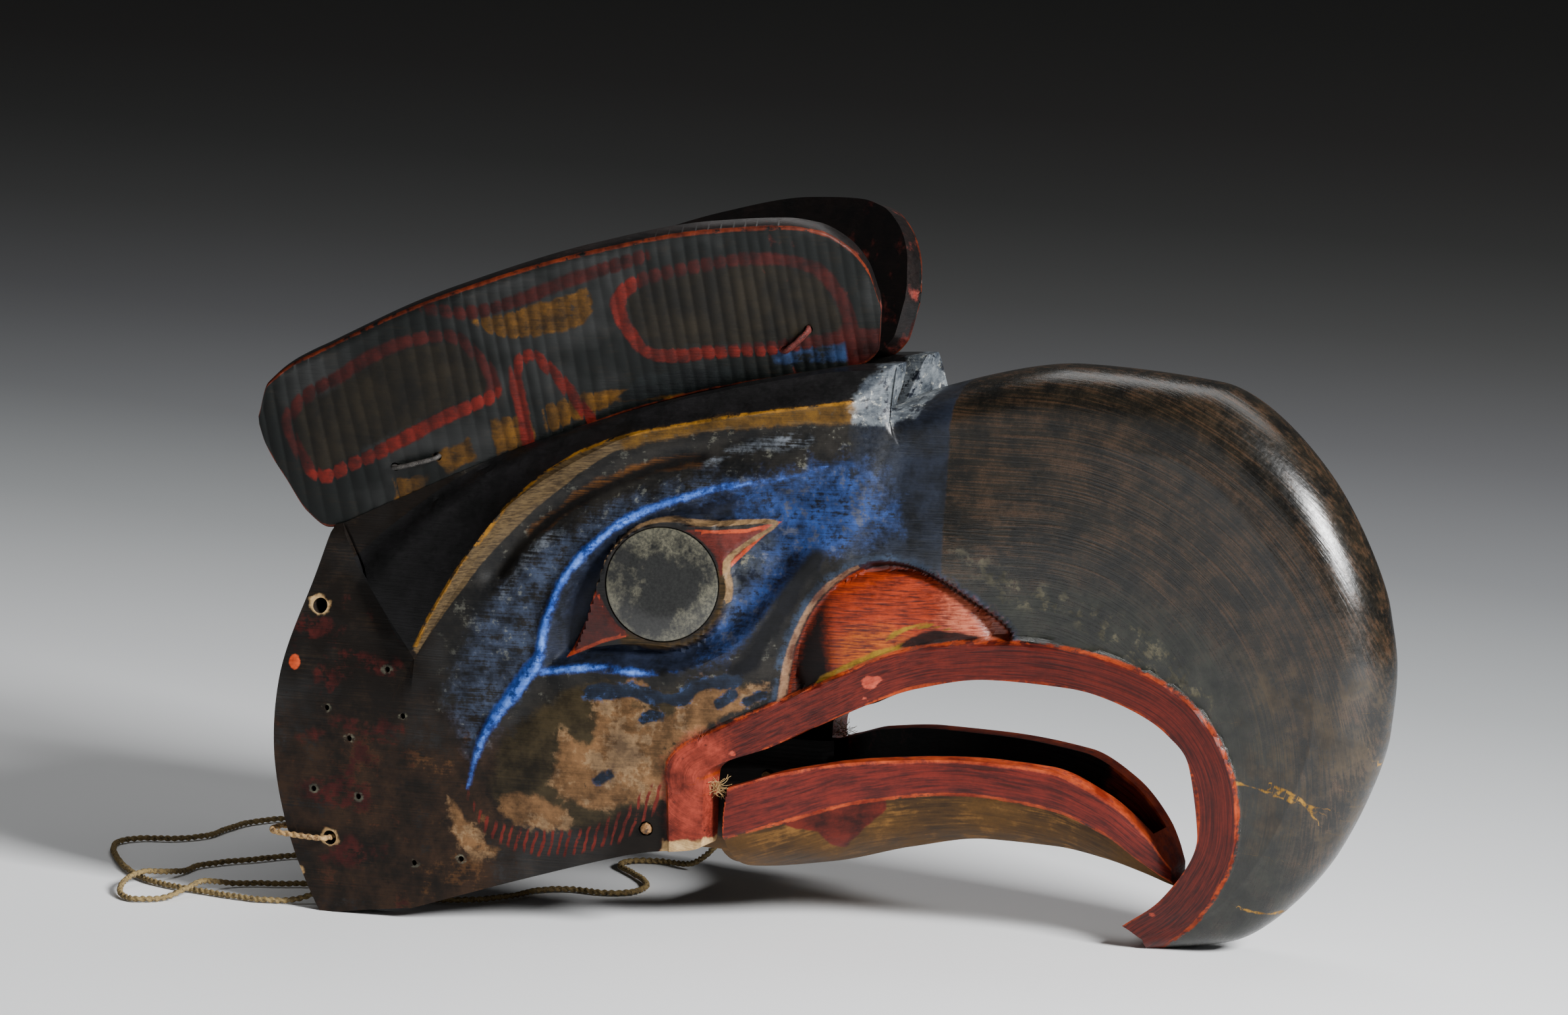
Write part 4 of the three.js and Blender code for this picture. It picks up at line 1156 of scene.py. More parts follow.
@dataclass(frozen=True)
class PaintedCedar:
    """Carved cedar under thin hand-ground paint, darkened and polished by smoke and handling.

    Attributes:
        name: The material's name.
        ground: Colours of the darkened wood, from its hollows to its rubbed places.
        layers: Paint from the first coat to the last.
        rough: Roughness of rubbed and of dull places.
        grain: Length and width of a streak of grain, in millimetres.
        relief: Height of the surface's marks, in millimetres.
    """

    name: str
    ground: tuple[str, str, str]
    layers: tuple[PaintLayer, ...] = ()
    rough: tuple[float, float] = (0.36, 0.58)
    grain: tuple[float, float] = (34.0, 1.5)
    relief: float = 0.35

    def marks(self, tree: NodeTree
              ) -> tuple[Node, dict[float, Node]]:
        """Noise that the wood and every coat share.

        Args:
            tree: The material's nodes.

        Returns:
            The streaks along the grain, and the other noises by their size in millimetres.
        """
        place = node(tree, "ShaderNodeTexCoord").outputs["Object"]
        thickness = node(tree, "ShaderNodeSeparateXYZ", {"Vector": place}).outputs["Y"]
        run, rise = (node(tree, "ShaderNodeAttribute", attribute_name=name).outputs["Fac"]
                     for name in ("grain_along", "grain_across"))
        long, wide = self.grain
        scaled = [node(tree, "ShaderNodeMath", {0: value, 1: scale}, operation="MULTIPLY")
                  for value, scale in ((run, 1 / long), (thickness, 250 / wide), (rise, 1 / wide))]
        streaks = node(tree, "ShaderNodeCombineXYZ", dict(enumerate(scaled)))
        grain = node(tree, "ShaderNodeTexNoise", {
            "Vector": streaks, "Scale": 1.0, "Detail": 4.0, "Roughness": 0.6})
        flakes = {PATCH, *(layer.flake for layer in self.layers)}
        noises = {size: node(tree, "ShaderNodeTexNoise", {
            "Vector": place, "Scale": 1000 / size, "Detail": detail, "Roughness": rough})
            for size, detail, rough in (
                (BROAD, 3.0, 0.55), (WANDER, 2.0, 0.55), (SPECK, 3.0, 0.7),
                *((flake, 5.0, 0.66) for flake in flakes))}
        return grain, noises

    def wood(self, tree: NodeTree, grain: Node,
             noises: dict[float, Node]) -> Node:
        """Colour of the bare wood under the paint.

        Args:
            tree: The material's nodes.
            grain: Streaks along the wood.
            noises: Noise by its size in millimetres.

        Returns:
            The node that gives the colour.
        """
        low, middle, high = (colour(code) for code in self.ground)
        tone = node(tree, "ShaderNodeMix", {0: 0.38, 2: noises[BROAD], 3: grain})
        share = node(tree, "ShaderNodeMapRange", {
            "Value": tone, "From Min": 0.36, "From Max": 0.52})
        skin = node(tree, "ShaderNodeMix", {0: share, 6: low, 7: middle}, data_type="RGBA")
        rubbed = node(tree, "ShaderNodeMix", {0: 0.4, 2: noises[PATCH], 3: grain})
        share = node(tree, "ShaderNodeMapRange", {
            "Value": rubbed, "From Min": 0.53, "From Max": 0.66})
        return node(tree, "ShaderNodeMix", {0: share, 6: skin, 7: high}, data_type="RGBA")

    def build(self) -> Material:
        """Makes the material, its pattern sizes in millimetres of Object coordinates.

        Returns:
            The new material.
        """
        material, tree = bare_material(self.name)
        grain, noises = self.marks(tree)
        patch, speck = noises[PATCH], noises[SPECK]
        skin = self.wood(tree, grain, noises)
        dull = node(tree, "ShaderNodeMapRange", {
            "Value": noises[BROAD], "From Min": 0.35, "From Max": 0.65, "To Min": self.rough[0],
            "To Max": self.rough[1]})
        height = node(tree, "ShaderNodeMix", {0: 0.3, 2: grain, 3: speck})
        mottled, brushed = (node(tree, "ShaderNodeMapRange", {
            "Value": node(tree, "ShaderNodeMix", {0: share, 2: patch, 3: grain}),
            "From Min": 0.38, "From Max": 0.6}) for share in (0.2, 0.85))
        for layer in self.layers:
            cover = layer.cover(tree, grain, noises)
            paint = node(tree, "ShaderNodeMix", {
                0: brushed if layer.streak > 0.4 else mottled, 6: colour(layer.dark),
                7: colour(layer.light)}, data_type="RGBA")
            skin = node(tree, "ShaderNodeMix", {0: cover, 6: skin, 7: paint}, data_type="RGBA")
            dull = node(tree, "ShaderNodeMix", {0: cover, 2: dull, 3: layer.rough})
            if layer.brush:
                hairs = node(tree, "ShaderNodeMath", {0: grain, 1: layer.brush},
                             operation="MULTIPLY")
                height = node(tree, "ShaderNodeMath", {0: cover, 1: hairs, 2: height},
                              operation="MULTIPLY_ADD")
        dirt = node(tree, "ShaderNodeMapRange", {
            "Value": node(tree, "ShaderNodeMix", {0: 0.5, 2: speck, 3: patch}),
            "From Min": 0.35, "From Max": 0.62, "To Min": 0.72, "To Max": 1.12})
        grey = node(tree, "ShaderNodeCombineColor", {0: dirt, 1: dirt, 2: dirt})
        skin = node(tree, "ShaderNodeMix", {0: 1.0, 6: skin, 7: grey}, data_type="RGBA",
                    blend_type="MULTIPLY")
        bump = node(tree, "ShaderNodeBump", {
            "Height": height, "Strength": 0.6, "Distance": self.relief * MM})
        even = node(tree, "ShaderNodeMath", {0: speck, 1: 0.5}, operation="SUBTRACT")
        matt = node(tree, "ShaderNodeMath", {0: even, 1: 0.25, 2: dull}, operation="MULTIPLY_ADD")
        sheen = node(tree, "ShaderNodeMapRange", {
            "Value": dull, "From Min": 0.32, "From Max": 0.5, "To Min": 0.6, "To Max": 0.2})
        shader = node(tree, "ShaderNodeBsdfPrincipled", {
            "Base Color": skin, "Roughness": matt, "Normal": bump, "IOR": 1.48,
            "Specular IOR Level": sheen})
        node(tree, "ShaderNodeOutputMaterial", {"Surface": shader})
        return material


@dataclass(frozen=True)
class MottledSurface:
    """A plain material of three mottled colours: worn hide, fibre or raw wood.

    Attributes:
        name: The material's name.
        colours: Its three colours, from its hollows to its rubbed places.
        size: Size of its mottling, in millimetres.
        stretch: How much longer the mottling is along X, Y and Z.
        rough: Roughness of smooth and dull places.
        relief: Height of its marks, in millimetres.
        spread: How much of the middle and of the last colour shows, as thresholds of the noise.
    """

    name: str
    colours: tuple[str, str, str]
    size: float = 4.0
    stretch: tuple[float, float, float] = (1.0, 1.0, 1.0)
    rough: tuple[float, float] = (0.6, 0.85)
    relief: float = 0.2
    spread: tuple[float, float] = (0.45, 0.58)

    def build(self) -> Material:
        """Makes the material, its pattern sizes in millimetres of Object coordinates.

        Returns:
            The new material.
        """
        material, tree = bare_material(self.name)
        place = node(tree, "ShaderNodeTexCoord").outputs["Object"]
        scale = tuple(1000 / (self.size * longer) for longer in self.stretch)
        even = node(tree, "ShaderNodeMapping", {"Vector": place, "Scale": scale})
        coarse = node(tree, "ShaderNodeTexNoise", {
            "Vector": even, "Scale": 1.0, "Detail": 6.0, "Roughness": 0.62})
        fine = node(tree, "ShaderNodeTexNoise", {
            "Vector": even, "Scale": 5.0, "Detail": 4.0, "Roughness": 0.7})
        skin, middle, high = (colour(code) for code in self.colours)
        for noise, at, tone in zip((coarse, fine), self.spread, (middle, high)):
            share = node(tree, "ShaderNodeMapRange", {
                "Value": noise, "From Min": at - 0.07, "From Max": at + 0.07},
                interpolation_type="SMOOTHSTEP")
            skin = node(tree, "ShaderNodeMix", {0: share, 6: skin, 7: tone}, data_type="RGBA")
        dull = node(tree, "ShaderNodeMapRange", {
            "Value": coarse, "From Min": 0.35, "From Max": 0.65, "To Min": self.rough[0],
            "To Max": self.rough[1]})
        bump = node(tree, "ShaderNodeBump", {
            "Height": fine, "Strength": 0.6, "Distance": self.relief * MM})
        shader = node(tree, "ShaderNodeBsdfPrincipled", {
            "Base Color": skin, "Roughness": dull, "Normal": bump})
        node(tree, "ShaderNodeOutputMaterial", {"Surface": shader})
        return material


def cord_line(points: Sequence[Sequence[float]], spacing: float) -> Array:
    """A smooth line through a cord's route, without loops at its close points.

    Args:
        points: The route's given points, in millimetres.
        spacing: Distance between the line's points.

    Returns:
        Points at an even spacing.
    """
    p = np.array(points, float)
    p = np.vstack([2 * p[0] - p[1], p, 2 * p[-1] - p[-2]])
    t = np.linspace(0, 1, 40, endpoint=False)[:, None]
    pieces = []
    for a, b, c, d in zip(p, p[1:], p[2:], p[3:]):
        first, second, third = (math.sqrt(np.linalg.norm(v)) for v in (b - a, c - b, d - c))
        leave = ((b - a) / first - (c - a) / (first + second) + (c - b) / second) * second
        reach = ((c - b) / second - (d - b) / (second + third) + (d - c) / third) * second
        pieces.append((2 * b - 2 * c + leave + reach) * t**3
                      + (-3 * b + 3 * c - 2 * leave - reach) * t**2 + leave * t + b)
    line = np.vstack(pieces + [p[-2:-1]])
    run = np.concatenate(([0.0], np.cumsum(np.linalg.norm(np.diff(line, axis=0), axis=1))))
    places = np.linspace(0, run[-1], int(run[-1] / spacing))
    return np.stack([np.interp(places, run, line[:, axis]) for axis in range(3)], axis=1)


@dataclass
class Cord:
    """A two-ply cord of twisted bark fibre, lying where its CAD solid lies.

    Attributes:
        name: The object's name.
        node: The CAD node that it replaces.
        route: Listed points of its middle line.
        far_end: What its far end is; not used.
        diameter: Its thickness over both plies.
        pitch: Length of one turn of the twist.
        spacing: Distance between the rings of its mesh.
    """

    name: str
    node: str
    route: Sequence[Sequence[float]]
    far_end: str
    diameter: float = 3.5
    pitch: float = 7.5
    spacing: float = 0.85

    def section(self, angle: Array, run: Array) -> Array:
        """Radius of two plies lying against each other, turning with the twist.

        Args:
            angle: Angles round the cord.
            run: Distance along it.

        Returns:
            A radius for each angle.
        """
        turned = angle - 2 * math.pi * run / self.pitch
        plies = np.sqrt(0.3 + 0.7 * np.cos(turned) ** 2)
        fibres = 0.05 * np.sin(5 * turned + run * 1.9) + 0.04 * np.sin(run / 3.1 + angle)
        return self.diameter / 2 * (plies + fibres - 0.05)

    def build(self, finish: Material) -> Object:
        """Args:
            finish: Its material.

        Returns:
            The cord's object.
        """
        path = cord_line(self.route, self.spacing)
        item = tube(self.name, path, self.section, 14)
        item.data.materials.append(finish)
        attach(item, "head")
        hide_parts(self.node)
        LOG.info("%s: %.0f mm of %.1f mm two-ply cord", self.name, length_of(path), self.diameter)
        return item


HARNESS_CORD = Cord("cord_harness", "harness_cord", [
    (-268, 83, 38), (-271, 84, 28), (-279, 88, 13), (-296, 94, 3.2), (-322, 100, 2),
    (-352, 98, 2), (-378, 86, 2), (-393, 66, 2), (-396, 44, 2), (-397, 26, 2), (-409, 12, 2),
    (-425, 6, 2), (-433, -6, 2), (-428, -22, 2), (-413, -44, 2), (-394, -66, 2), (-371, -85, 2),
    (-352, -93, 2), (-330, -98, 2), (-308, -102, 2), (-290, -103, 2), (-277, -98, 2.2),
    (-267, -91, 5.5), (-262.5, -86, 13), (-263, -83, 22), (-265, -82.2, 29),
    (-267, -82.5, 36)], far_end="object")
JAW_CORD = Cord("cord_jaw", "jaw_cord", [
    (-76, 51.5, 56), (-79, 47, 51), (-87, 45, 38), (-103, 50, 18), (-122, 60, 4.5), (-144, 68, 2),
    (-158, 63, 2), (-160, 51, 2), (-148, 38, 2), (-134, 24, 2), (-124, 8, 2), (-125, -8, 2),
    (-138, -15, 2), (-155, -14, 2), (-170, -22, 2), (-178, -42, 2), (-194, -60, 2),
    (-225, -68, 2), (-262, -62, 2), (-288, -60, 2), (-303, -66, 2), (-315, -70, 2),
    (-325, -77, 2.4), (-330, -87, 5), (-332, -97, 6.5), (-334, -109, 5), (-340, -121, 2.2),
    (-353, -129, 2), (-366, -121, 2.2), (-373, -105, 4.8), (-372, -89, 6.5), (-366, -75, 4.6),
    (-363, -60, 2.2), (-363, -44, 2), (-355, -30, 2), (-343, -17, 2), (-331, -2, 2), (-314, 9, 2),
    (-286, 14, 2), (-256, 8, 2)], far_end="bare")


@dataclass(frozen=True)
class Finishes:
    """Every finish of the mask."""

    # Cedar darkened by smoke: brown shows through the black in long rubbed streaks
    head: PaintedCedar = PaintedCedar(
        "cedar_smoked_painted_head", ("#090706", "#130e0a", "#251b12"), grain=(60.0, 0.85), layers=(
            PaintLayer("rear_low", "#15100b", "#2e1f14", soft=18.0, wobble=10.0, worn=0.35,
                       flake=20.0),
            PaintLayer("rear_low", "#33210f", "#543820", soft=10.0, wobble=8.0, worn=0.8,
                       flake=20.0),
            PaintLayer("rear_red", "#1c0c0a", "#381512", soft=5.0, wobble=8.0, worn=0.8,
                       flake=20.0),
            PaintLayer("rear_dabs", "#260d0b", "#461815", soft=2.5, wobble=5.0, worn=0.5,
                       flake=7.0),
            PaintLayer("beak", "#0e0d0b", "#1e1a13", soft=2.0, wobble=2.0, worn=0.1, rough=0.25),
            PaintLayer("beak", "#1e160c", "#35261a", soft=8.0, wobble=4.0, worn=0.66, rough=0.27,
                       streak=0.5),
            PaintLayer("beak_low", "#121411", "#24251f", soft=14.0, wobble=8.0, worn=0.42,
                       rough=0.34, flake=20.0, streak=0.35),
            PaintLayer("beak_far", "#1f1a13", "#3a3023", soft=12.0, wobble=6.0, worn=0.6,
                       rough=0.36, flake=20.0, streak=0.3),
            PaintLayer("scuff", "#2b2a24", "#524e40", soft=4.0, wobble=3.0, worn=0.68, flake=7.0),
            PaintLayer("scratch", "#6a4a16", "#a87e36", soft=0.5, wobble=0.9, worn=0.5, flake=4.0,
                       band=0.5),
            PaintLayer("band", "#0c0e12", "#1b202b", soft=0.8, wobble=0.5, worn=0.08, rough=0.34),
            PaintLayer("flank", "#0e0f10", "#211f1c", soft=5.0, wobble=4.0, worn=0.12, flake=20.0),
            PaintLayer("flank", "#2b2c29", "#56554c", soft=12.0, wobble=6.0, worn=0.82, flake=7.0),
            PaintLayer("socket", "#0b0e14", "#1a2030", soft=2.0, wobble=2.0, worn=0.1, flake=20.0),
            PaintLayer("haze", "#181c25", "#363f52", soft=7.0, wobble=5.0, worn=0.5, flake=7.0,
                       streak=0.3),
            PaintLayer("haze", "#3d3f40", "#696b66", soft=7.0, wobble=4.0, worn=0.84, flake=7.0),
            PaintLayer("mid_grey", "#1a1d22", "#363b42", soft=2.5, wobble=2.0, worn=0.45,
                       flake=7.0),
            PaintLayer("mid_grey", "#44433b", "#6b6858", soft=2.0, wobble=2.0, worn=0.82,
                       flake=7.0),
            PaintLayer("slope", "#141d33", "#263f74", soft=10.0, wobble=6.0, worn=0.44, flake=7.0,
                       streak=0.2),
            PaintLayer("slope", "#24262b", "#43485a", soft=4.0, wobble=4.0, worn=0.74, flake=7.0),
            # Painted shadow: the groove beside the nostril's rim, painted near black
            PaintLayer("hollow", "#050607", "#0b0c10", soft=2.5, wobble=1.5, worn=0.0, rough=0.8),
            PaintLayer("rim_ridge", "#161c26", "#2f3b4d", soft=2.0, wobble=1.5, worn=0.45,
                       flake=7.0),
            PaintLayer("olive", "#181309", "#352c1b", soft=3.0, wobble=3.0, worn=0.08, flake=20.0),
            PaintLayer("cheek_tan", "#44301b", "#745436", soft=2.0, wobble=3.0, worn=0.24,
                       flake=20.0, streak=0.0),
            PaintLayer("cheek_tan", "#574431", "#84694b", soft=4.0, wobble=3.0, worn=0.66,
                       flake=20.0, streak=0.0),
            PaintLayer("flake", "#0d1016", "#1c2433", soft=0.7, wobble=1.6, worn=0.1, flake=4.0),
            PaintLayer("flake", "#1a2438", "#33456a", soft=1.2, wobble=1.6, worn=0.72,
                       flake=4.0, band=0.8),
            PaintLayer("hatch", "#3a0f0b", "#65211a", soft=1.2, wobble=1.5, worn=0.35, flake=7.0,
                       strokes=Strokes(4.4, -15.0, 0.34)),
            PaintLayer("crest", "#142a62", "#284c9e", soft=1.5, wobble=0.7, worn=0.16, flake=7.0),
            # Painted highlight: a paler blue along the top of the carved blue ridge, where it
            # catches the light
            PaintLayer("crest_core", "#2b58bd", "#6a92e0", soft=1.2, wobble=0.8, worn=0.46,
                       flake=7.0),
            PaintLayer("brown_band", "#23160b", "#553414", soft=1.5, wobble=1.5, worn=0.35,
                       streak=0.7),
            # Painted shade: the carved groove under the brow's bevel is painted near black for the
            # shadow that falls in it
            PaintLayer("flute", "#070606", "#100e0c", soft=1.8, wobble=0.8, worn=0.05),
            # Painted highlight: a light grey-blue patch at the brow's front end, together with a
            # grey streak near the flute's rear end
            PaintLayer("shine", "#2a2e33", "#5e636a", soft=2.0, wobble=1.5, worn=0.6, flake=7.0,
                       streak=0.4),
            PaintLayer("brow", "#090909", "#131213", soft=0.4, wobble=0.3, worn=0.03, rough=0.45),
            PaintLayer("bevel", "#34291c", "#57472f", soft=0.4, wobble=0.3, worn=0.06, streak=0.6),
            PaintLayer("bevel_front", "#2e1f07", "#5f4212", soft=2.0, wobble=1.2, worn=0.35,
                       flake=4.0),
            PaintLayer("arris", "#4c340d", "#875c19", soft=0.4, wobble=0.25, worn=0.5, flake=7.0,
                       band=0.8),
            PaintLayer("forehead", "#333941", "#70767a", soft=2.0, wobble=3.0, worn=0.42,
                       flake=7.0),
            PaintLayer("forehead", "#85877f", "#b5b5ad", soft=2.0, wobble=2.0, worn=0.8, flake=4.0),
            PaintLayer("eye_field", "#0a0a0b", "#17120e", soft=0.5, wobble=0.3, worn=0.0,
                       rough=0.42),
            PaintLayer("crescent", "#191309", "#3a2c18", soft=1.5, wobble=0.8, worn=0.1,
                       streak=0.5),
            PaintLayer("eye_red", "#2a0b08", "#521810", soft=0.5, wobble=0.4, worn=0.1, rough=0.42),
            PaintLayer("eye_red_edge", "#6a1e0d", "#a03c1a", soft=0.35, wobble=0.25, worn=0.3,
                       flake=4.0, rough=0.42, band=0.8),
            PaintLayer("lid", "#33271a", "#7c6243", soft=0.4, wobble=0.2, worn=0.15, flake=4.0,
                       band=1.0),
            PaintLayer("nostril", "#420e04", "#8a2a06", soft=0.5, wobble=0.2, worn=0.0, rough=0.36,
                       brush=0.5, streak=0.6),
            PaintLayer("nostril_low", "#5e2004", "#98480a", soft=6.0, wobble=3.0, worn=0.45,
                       rough=0.42, streak=0.8, brush=0.5),
            # Painted highlight: the key light's sheen on the right of the nostril's ball, painted
            # pinkish
            PaintLayer("nostril_right", "#7a2a18", "#a85c42", soft=7.0, wobble=3.0, worn=0.35,
                       rough=0.3, streak=0.5),
            # Painted shade: the left side of the nostril's ball, turned away from the key light,
            # painted near black
            PaintLayer("nostril_dark", "#070303", "#140705", soft=5.0, wobble=1.0, worn=0.0,
                       rough=0.6),
            PaintLayer("nostril_gold", "#4d360a", "#7d6018", soft=0.6, wobble=0.7, worn=0.2,
                       flake=4.0),
            # Painted shadow: a near-black line where the nostril's ball meets the beak, and the
            # dark under its curled lower edge
            PaintLayer("notch", "#0e0504", "#260c07", soft=0.9, wobble=0.4, worn=0.0),
            PaintLayer("nostril_rim", "#4a2f26", "#7c6049", soft=0.5, wobble=0.3, worn=0.15,
                       flake=4.0, band=1.0),
            PaintLayer("lip", "#300a08", "#58180f", soft=0.4, wobble=0.4, worn=0.0, rough=0.46,
                       streak=0.8, brush=1.2),
            PaintLayer("lip_rear", "#581d14", "#8e382a", soft=5.0, wobble=4.0, worn=0.25,
                       rough=0.5, flake=7.0),
            PaintLayer("lip_edge", "#5e1c0b", "#983a16", soft=0.5, wobble=0.4, worn=0.5, rough=0.5,
                       flake=7.0, band=0.8),
            PaintLayer("lip_chip", "#8a2e22", "#b85440", soft=0.5, wobble=1.8, worn=0.0, rough=0.5),
            PaintLayer("bare", "#8a6a44", "#c9a878", soft=0.8, wobble=2.0, worn=0.2, rough=0.7,
                       flake=4.0),
            PaintLayer("nail", "#2e2e28", "#605d4e", soft=0.5, wobble=0.7, worn=0.55, flake=4.0),
            PaintLayer("crown", "#080706", "#14110e", soft=1.5, wobble=1.0, worn=0.05, rough=0.6),
            PaintLayer("chip", "#8a2a10", "#d2542a", soft=0.5, wobble=0.8, worn=0.0),
        ))
    # The hollowed inside: adzed cedar, brown-black from smoke, matt
    hollow: PaintedCedar = PaintedCedar(
        "cedar_adzed_inside", ("#0b0907", "#19130e", "#30241a"), rough=(0.62, 0.85), relief=0.6)
    # Cedar rubbed to olive brown below the jaw's red lip
    jaw: PaintedCedar = PaintedCedar(
        "cedar_smoked_painted_jaw", ("#2a1c0d", "#503718", "#6e4c22"), rough=(0.5, 0.7), layers=(
            PaintLayer("jaw_tongue", "#2c0d09", "#571a11", soft=0.6, wobble=0.8, worn=0.1),
            PaintLayer("jaw_lip", "#380c0a", "#641b12", soft=0.4, wobble=0.4, worn=0.0, rough=0.46,
                       streak=0.8, brush=1.2),
            PaintLayer("jaw_top", "#541a14", "#863a2e", soft=0.6, wobble=1.0, worn=0.2, rough=0.5),
            PaintLayer("jaw_edge", "#741f0c", "#ab4520", soft=0.5, wobble=0.4, worn=0.4, rough=0.5,
                       flake=7.0, band=0.9),
            # Painted shade: the inside of the jaw's trough painted near black
            PaintLayer("jaw_inside", "#0b0807", "#180f0c", soft=0.8, wobble=1.0, worn=0.05),
        ))
    # Ear boards: blue-green black over gouged cedar, its ridges rubbed brown
    ear: PaintedCedar = PaintedCedar(
        "cedar_gouged_painted_ear", ("#040605", "#0a0d0c", "#14110c"), grain=(26.0, 1.2), layers=(
            PaintLayer("ear_olive", "#0c0a06", "#1a150c", soft=3.0, wobble=2.0, worn=0.15),
            PaintLayer("ear_ochre", "#2a1b05", "#57390c", soft=0.9, wobble=1.4, worn=0.25,
                       flake=7.0),
            PaintLayer("ear_blue", "#0b121e", "#1f304e", soft=1.5, wobble=1.5, worn=0.4),
            PaintLayer("ear_black", "#07090a", "#101414", soft=1.0, wobble=1.0, worn=0.1),
            PaintLayer("ear_ring", "#1a0605", "#350d0a", soft=1.0, wobble=0.6, worn=0.22,
                       flake=4.0),
            PaintLayer("ear_bright", "#300a06", "#5a130b", soft=0.8, wobble=0.6, worn=0.12,
                       flake=4.0, brush=0.6),
            PaintLayer("ear_back", "#080606", "#150d0b", soft=0.5, wobble=0.2, worn=0.05,
                       rough=0.4),
            PaintLayer("ear_edge", "#2a2422", "#5e5149", soft=0.4, wobble=0.3, worn=0.2),
            PaintLayer("ear_edge_red", "#481410", "#8c3a30", soft=1.5, wobble=2.0, worn=0.15),
            PaintLayer("ear_line", "#2e0e07", "#5e2310", soft=0.4, wobble=0.4, worn=0.4, flake=7.0),
        ))
    # Whittled hardwood, unpainted, greasy from turning in its holes
    peg: MottledSurface = MottledSurface(
        "peg_wood_whittled", ("#3a2614", "#7a5530", "#a88252"), size=3, stretch=(1, 5, 1),
        relief=0.15)
    # Hide lace, oiled black and rubbed grey on its edges
    leather: MottledSurface = MottledSurface(
        "hide_lace_blackened", ("#141212", "#2f2c2a", "#5b554f"), size=2.5, rough=(0.5, 0.8))
    # The same hide brushed over with the ear's red paint
    red_hide: MottledSurface = MottledSurface(
        "hide_tie_red_painted", ("#1e0a08", "#4c1610", "#7c2c20"), size=2.5)
    # Raw tanned thong, dry and fuzzy
    thong: MottledSurface = MottledSurface(
        "hide_thong_tan", ("#6d4d2c", "#a8824f", "#cdb083"), size=2.5, rough=(0.7, 0.9))
    # Twisted inner bark: tan-brown fibres with dark gaps between them
    cord: MottledSurface = MottledSurface(
        "bark_fibre_cord", ("#3d2f1b", "#7d6840", "#b09a68"), size=1.6, rough=(0.75, 0.95),
        relief=0.25)
    # The same bark fibres teased out and left loose
    tuft: MottledSurface = MottledSurface(
        "bark_fibre_tuft", ("#6a5330", "#a98a58", "#d0b684"), size=2, rough=(0.75, 0.95))


def near(line: Line, x: Array, z: Array, measure: Curve, reach: float = 30) -> Array:
    """A measure taken close to a line only, which saves time on a large mesh.

    Args:
        line: The line's points, [x, z].
        x: X of the mesh's points.
        z: Z of the points.
        measure: Gives the measure from X and Z.
        reach: How far round the line it is taken.

    Returns:
        The measure there, and minus the reach everywhere else.
    """
    low, high = line.min(axis=0) - reach, line.max(axis=0) + reach
    close = (x > low[0]) & (x < high[0]) & (z > low[1]) & (z < high[1])
    found = np.full(np.shape(x), -float(reach))
    found[close] = measure(x[close], z[close])
    return found


def outline_field(points: Sequence[Sequence[float]], x: Array, z: Array,
                  steps: int = 44) -> Array:
    """Distance inside a painted area with a smooth outline.

    Args:
        points: A few points of its outline, [x, z].
        x: X of the mesh's points.
        z: Z of the points.
        steps: How many straight pieces the outline is drawn with.

    Returns:
        The distance, positive inside.
    """
    outline = smooth_line(points, closed=True, steps=steps)
    return near(outline, x, z, lambda a, b: inside(outline, a, b))


def corner_field(points: Sequence[Sequence[float]], x: Array, z: Array) -> Array:
    """Distance inside a painted area with straight sides and sharp corners."""
    outline = np.array(points, float)
    return near(outline, x, z, lambda a, b: inside(outline, a, b))


def line_field(points: Sequence[Sequence[float]], wide: float, x: Array,
               z: Array) -> Array:
    """Distance inside a brushed line, from points on its middle and its width."""
    line = smooth_line(points, steps=40)
    return near(line, x, z, lambda a, b: wide / 2 - np.abs(beside(line, a, b)[0]))


def scratches_field(scratches: Sequence[Sequence[Sequence[float]]], x: Array,
                    z: Array) -> Array:
    """Signed distance to the nearest of some scratches, sent far off away from them.

    Args:
        scratches: Points on each scratch, [x, z].
        x: X of the mesh's points.
        z: Z of the points.

    Returns:
        The distance, for a painted line.
    """
    gaps = []
    for points in scratches:
        line = smooth_line(points, steps=16)
        gaps.append(near(line, x, z, lambda a, b: beside(line, a, b)[0]))
    gap = np.take_along_axis(np.array(gaps), np.abs(gaps).argmin(axis=0)[None], axis=0)[0]
    return only(np.abs(gap) < 5, gap)


def spots_field(spots: Sequence[Sequence[float]], x: Array, z: Array,
                wide: float) -> Array:
    """Distance inside the nearest of some spots of [x, z, radius], each so much wider than tall."""
    return np.maximum.reduce([r - np.hypot((x - a) / wide, z - b) for a, b, r in spots])


def only(shown: Array, gap: Array) -> Array:
    """A painted line's distance, sent far off to its own side where the line isn't shown."""
    return np.where(shown, gap, np.copysign(99.0, gap))


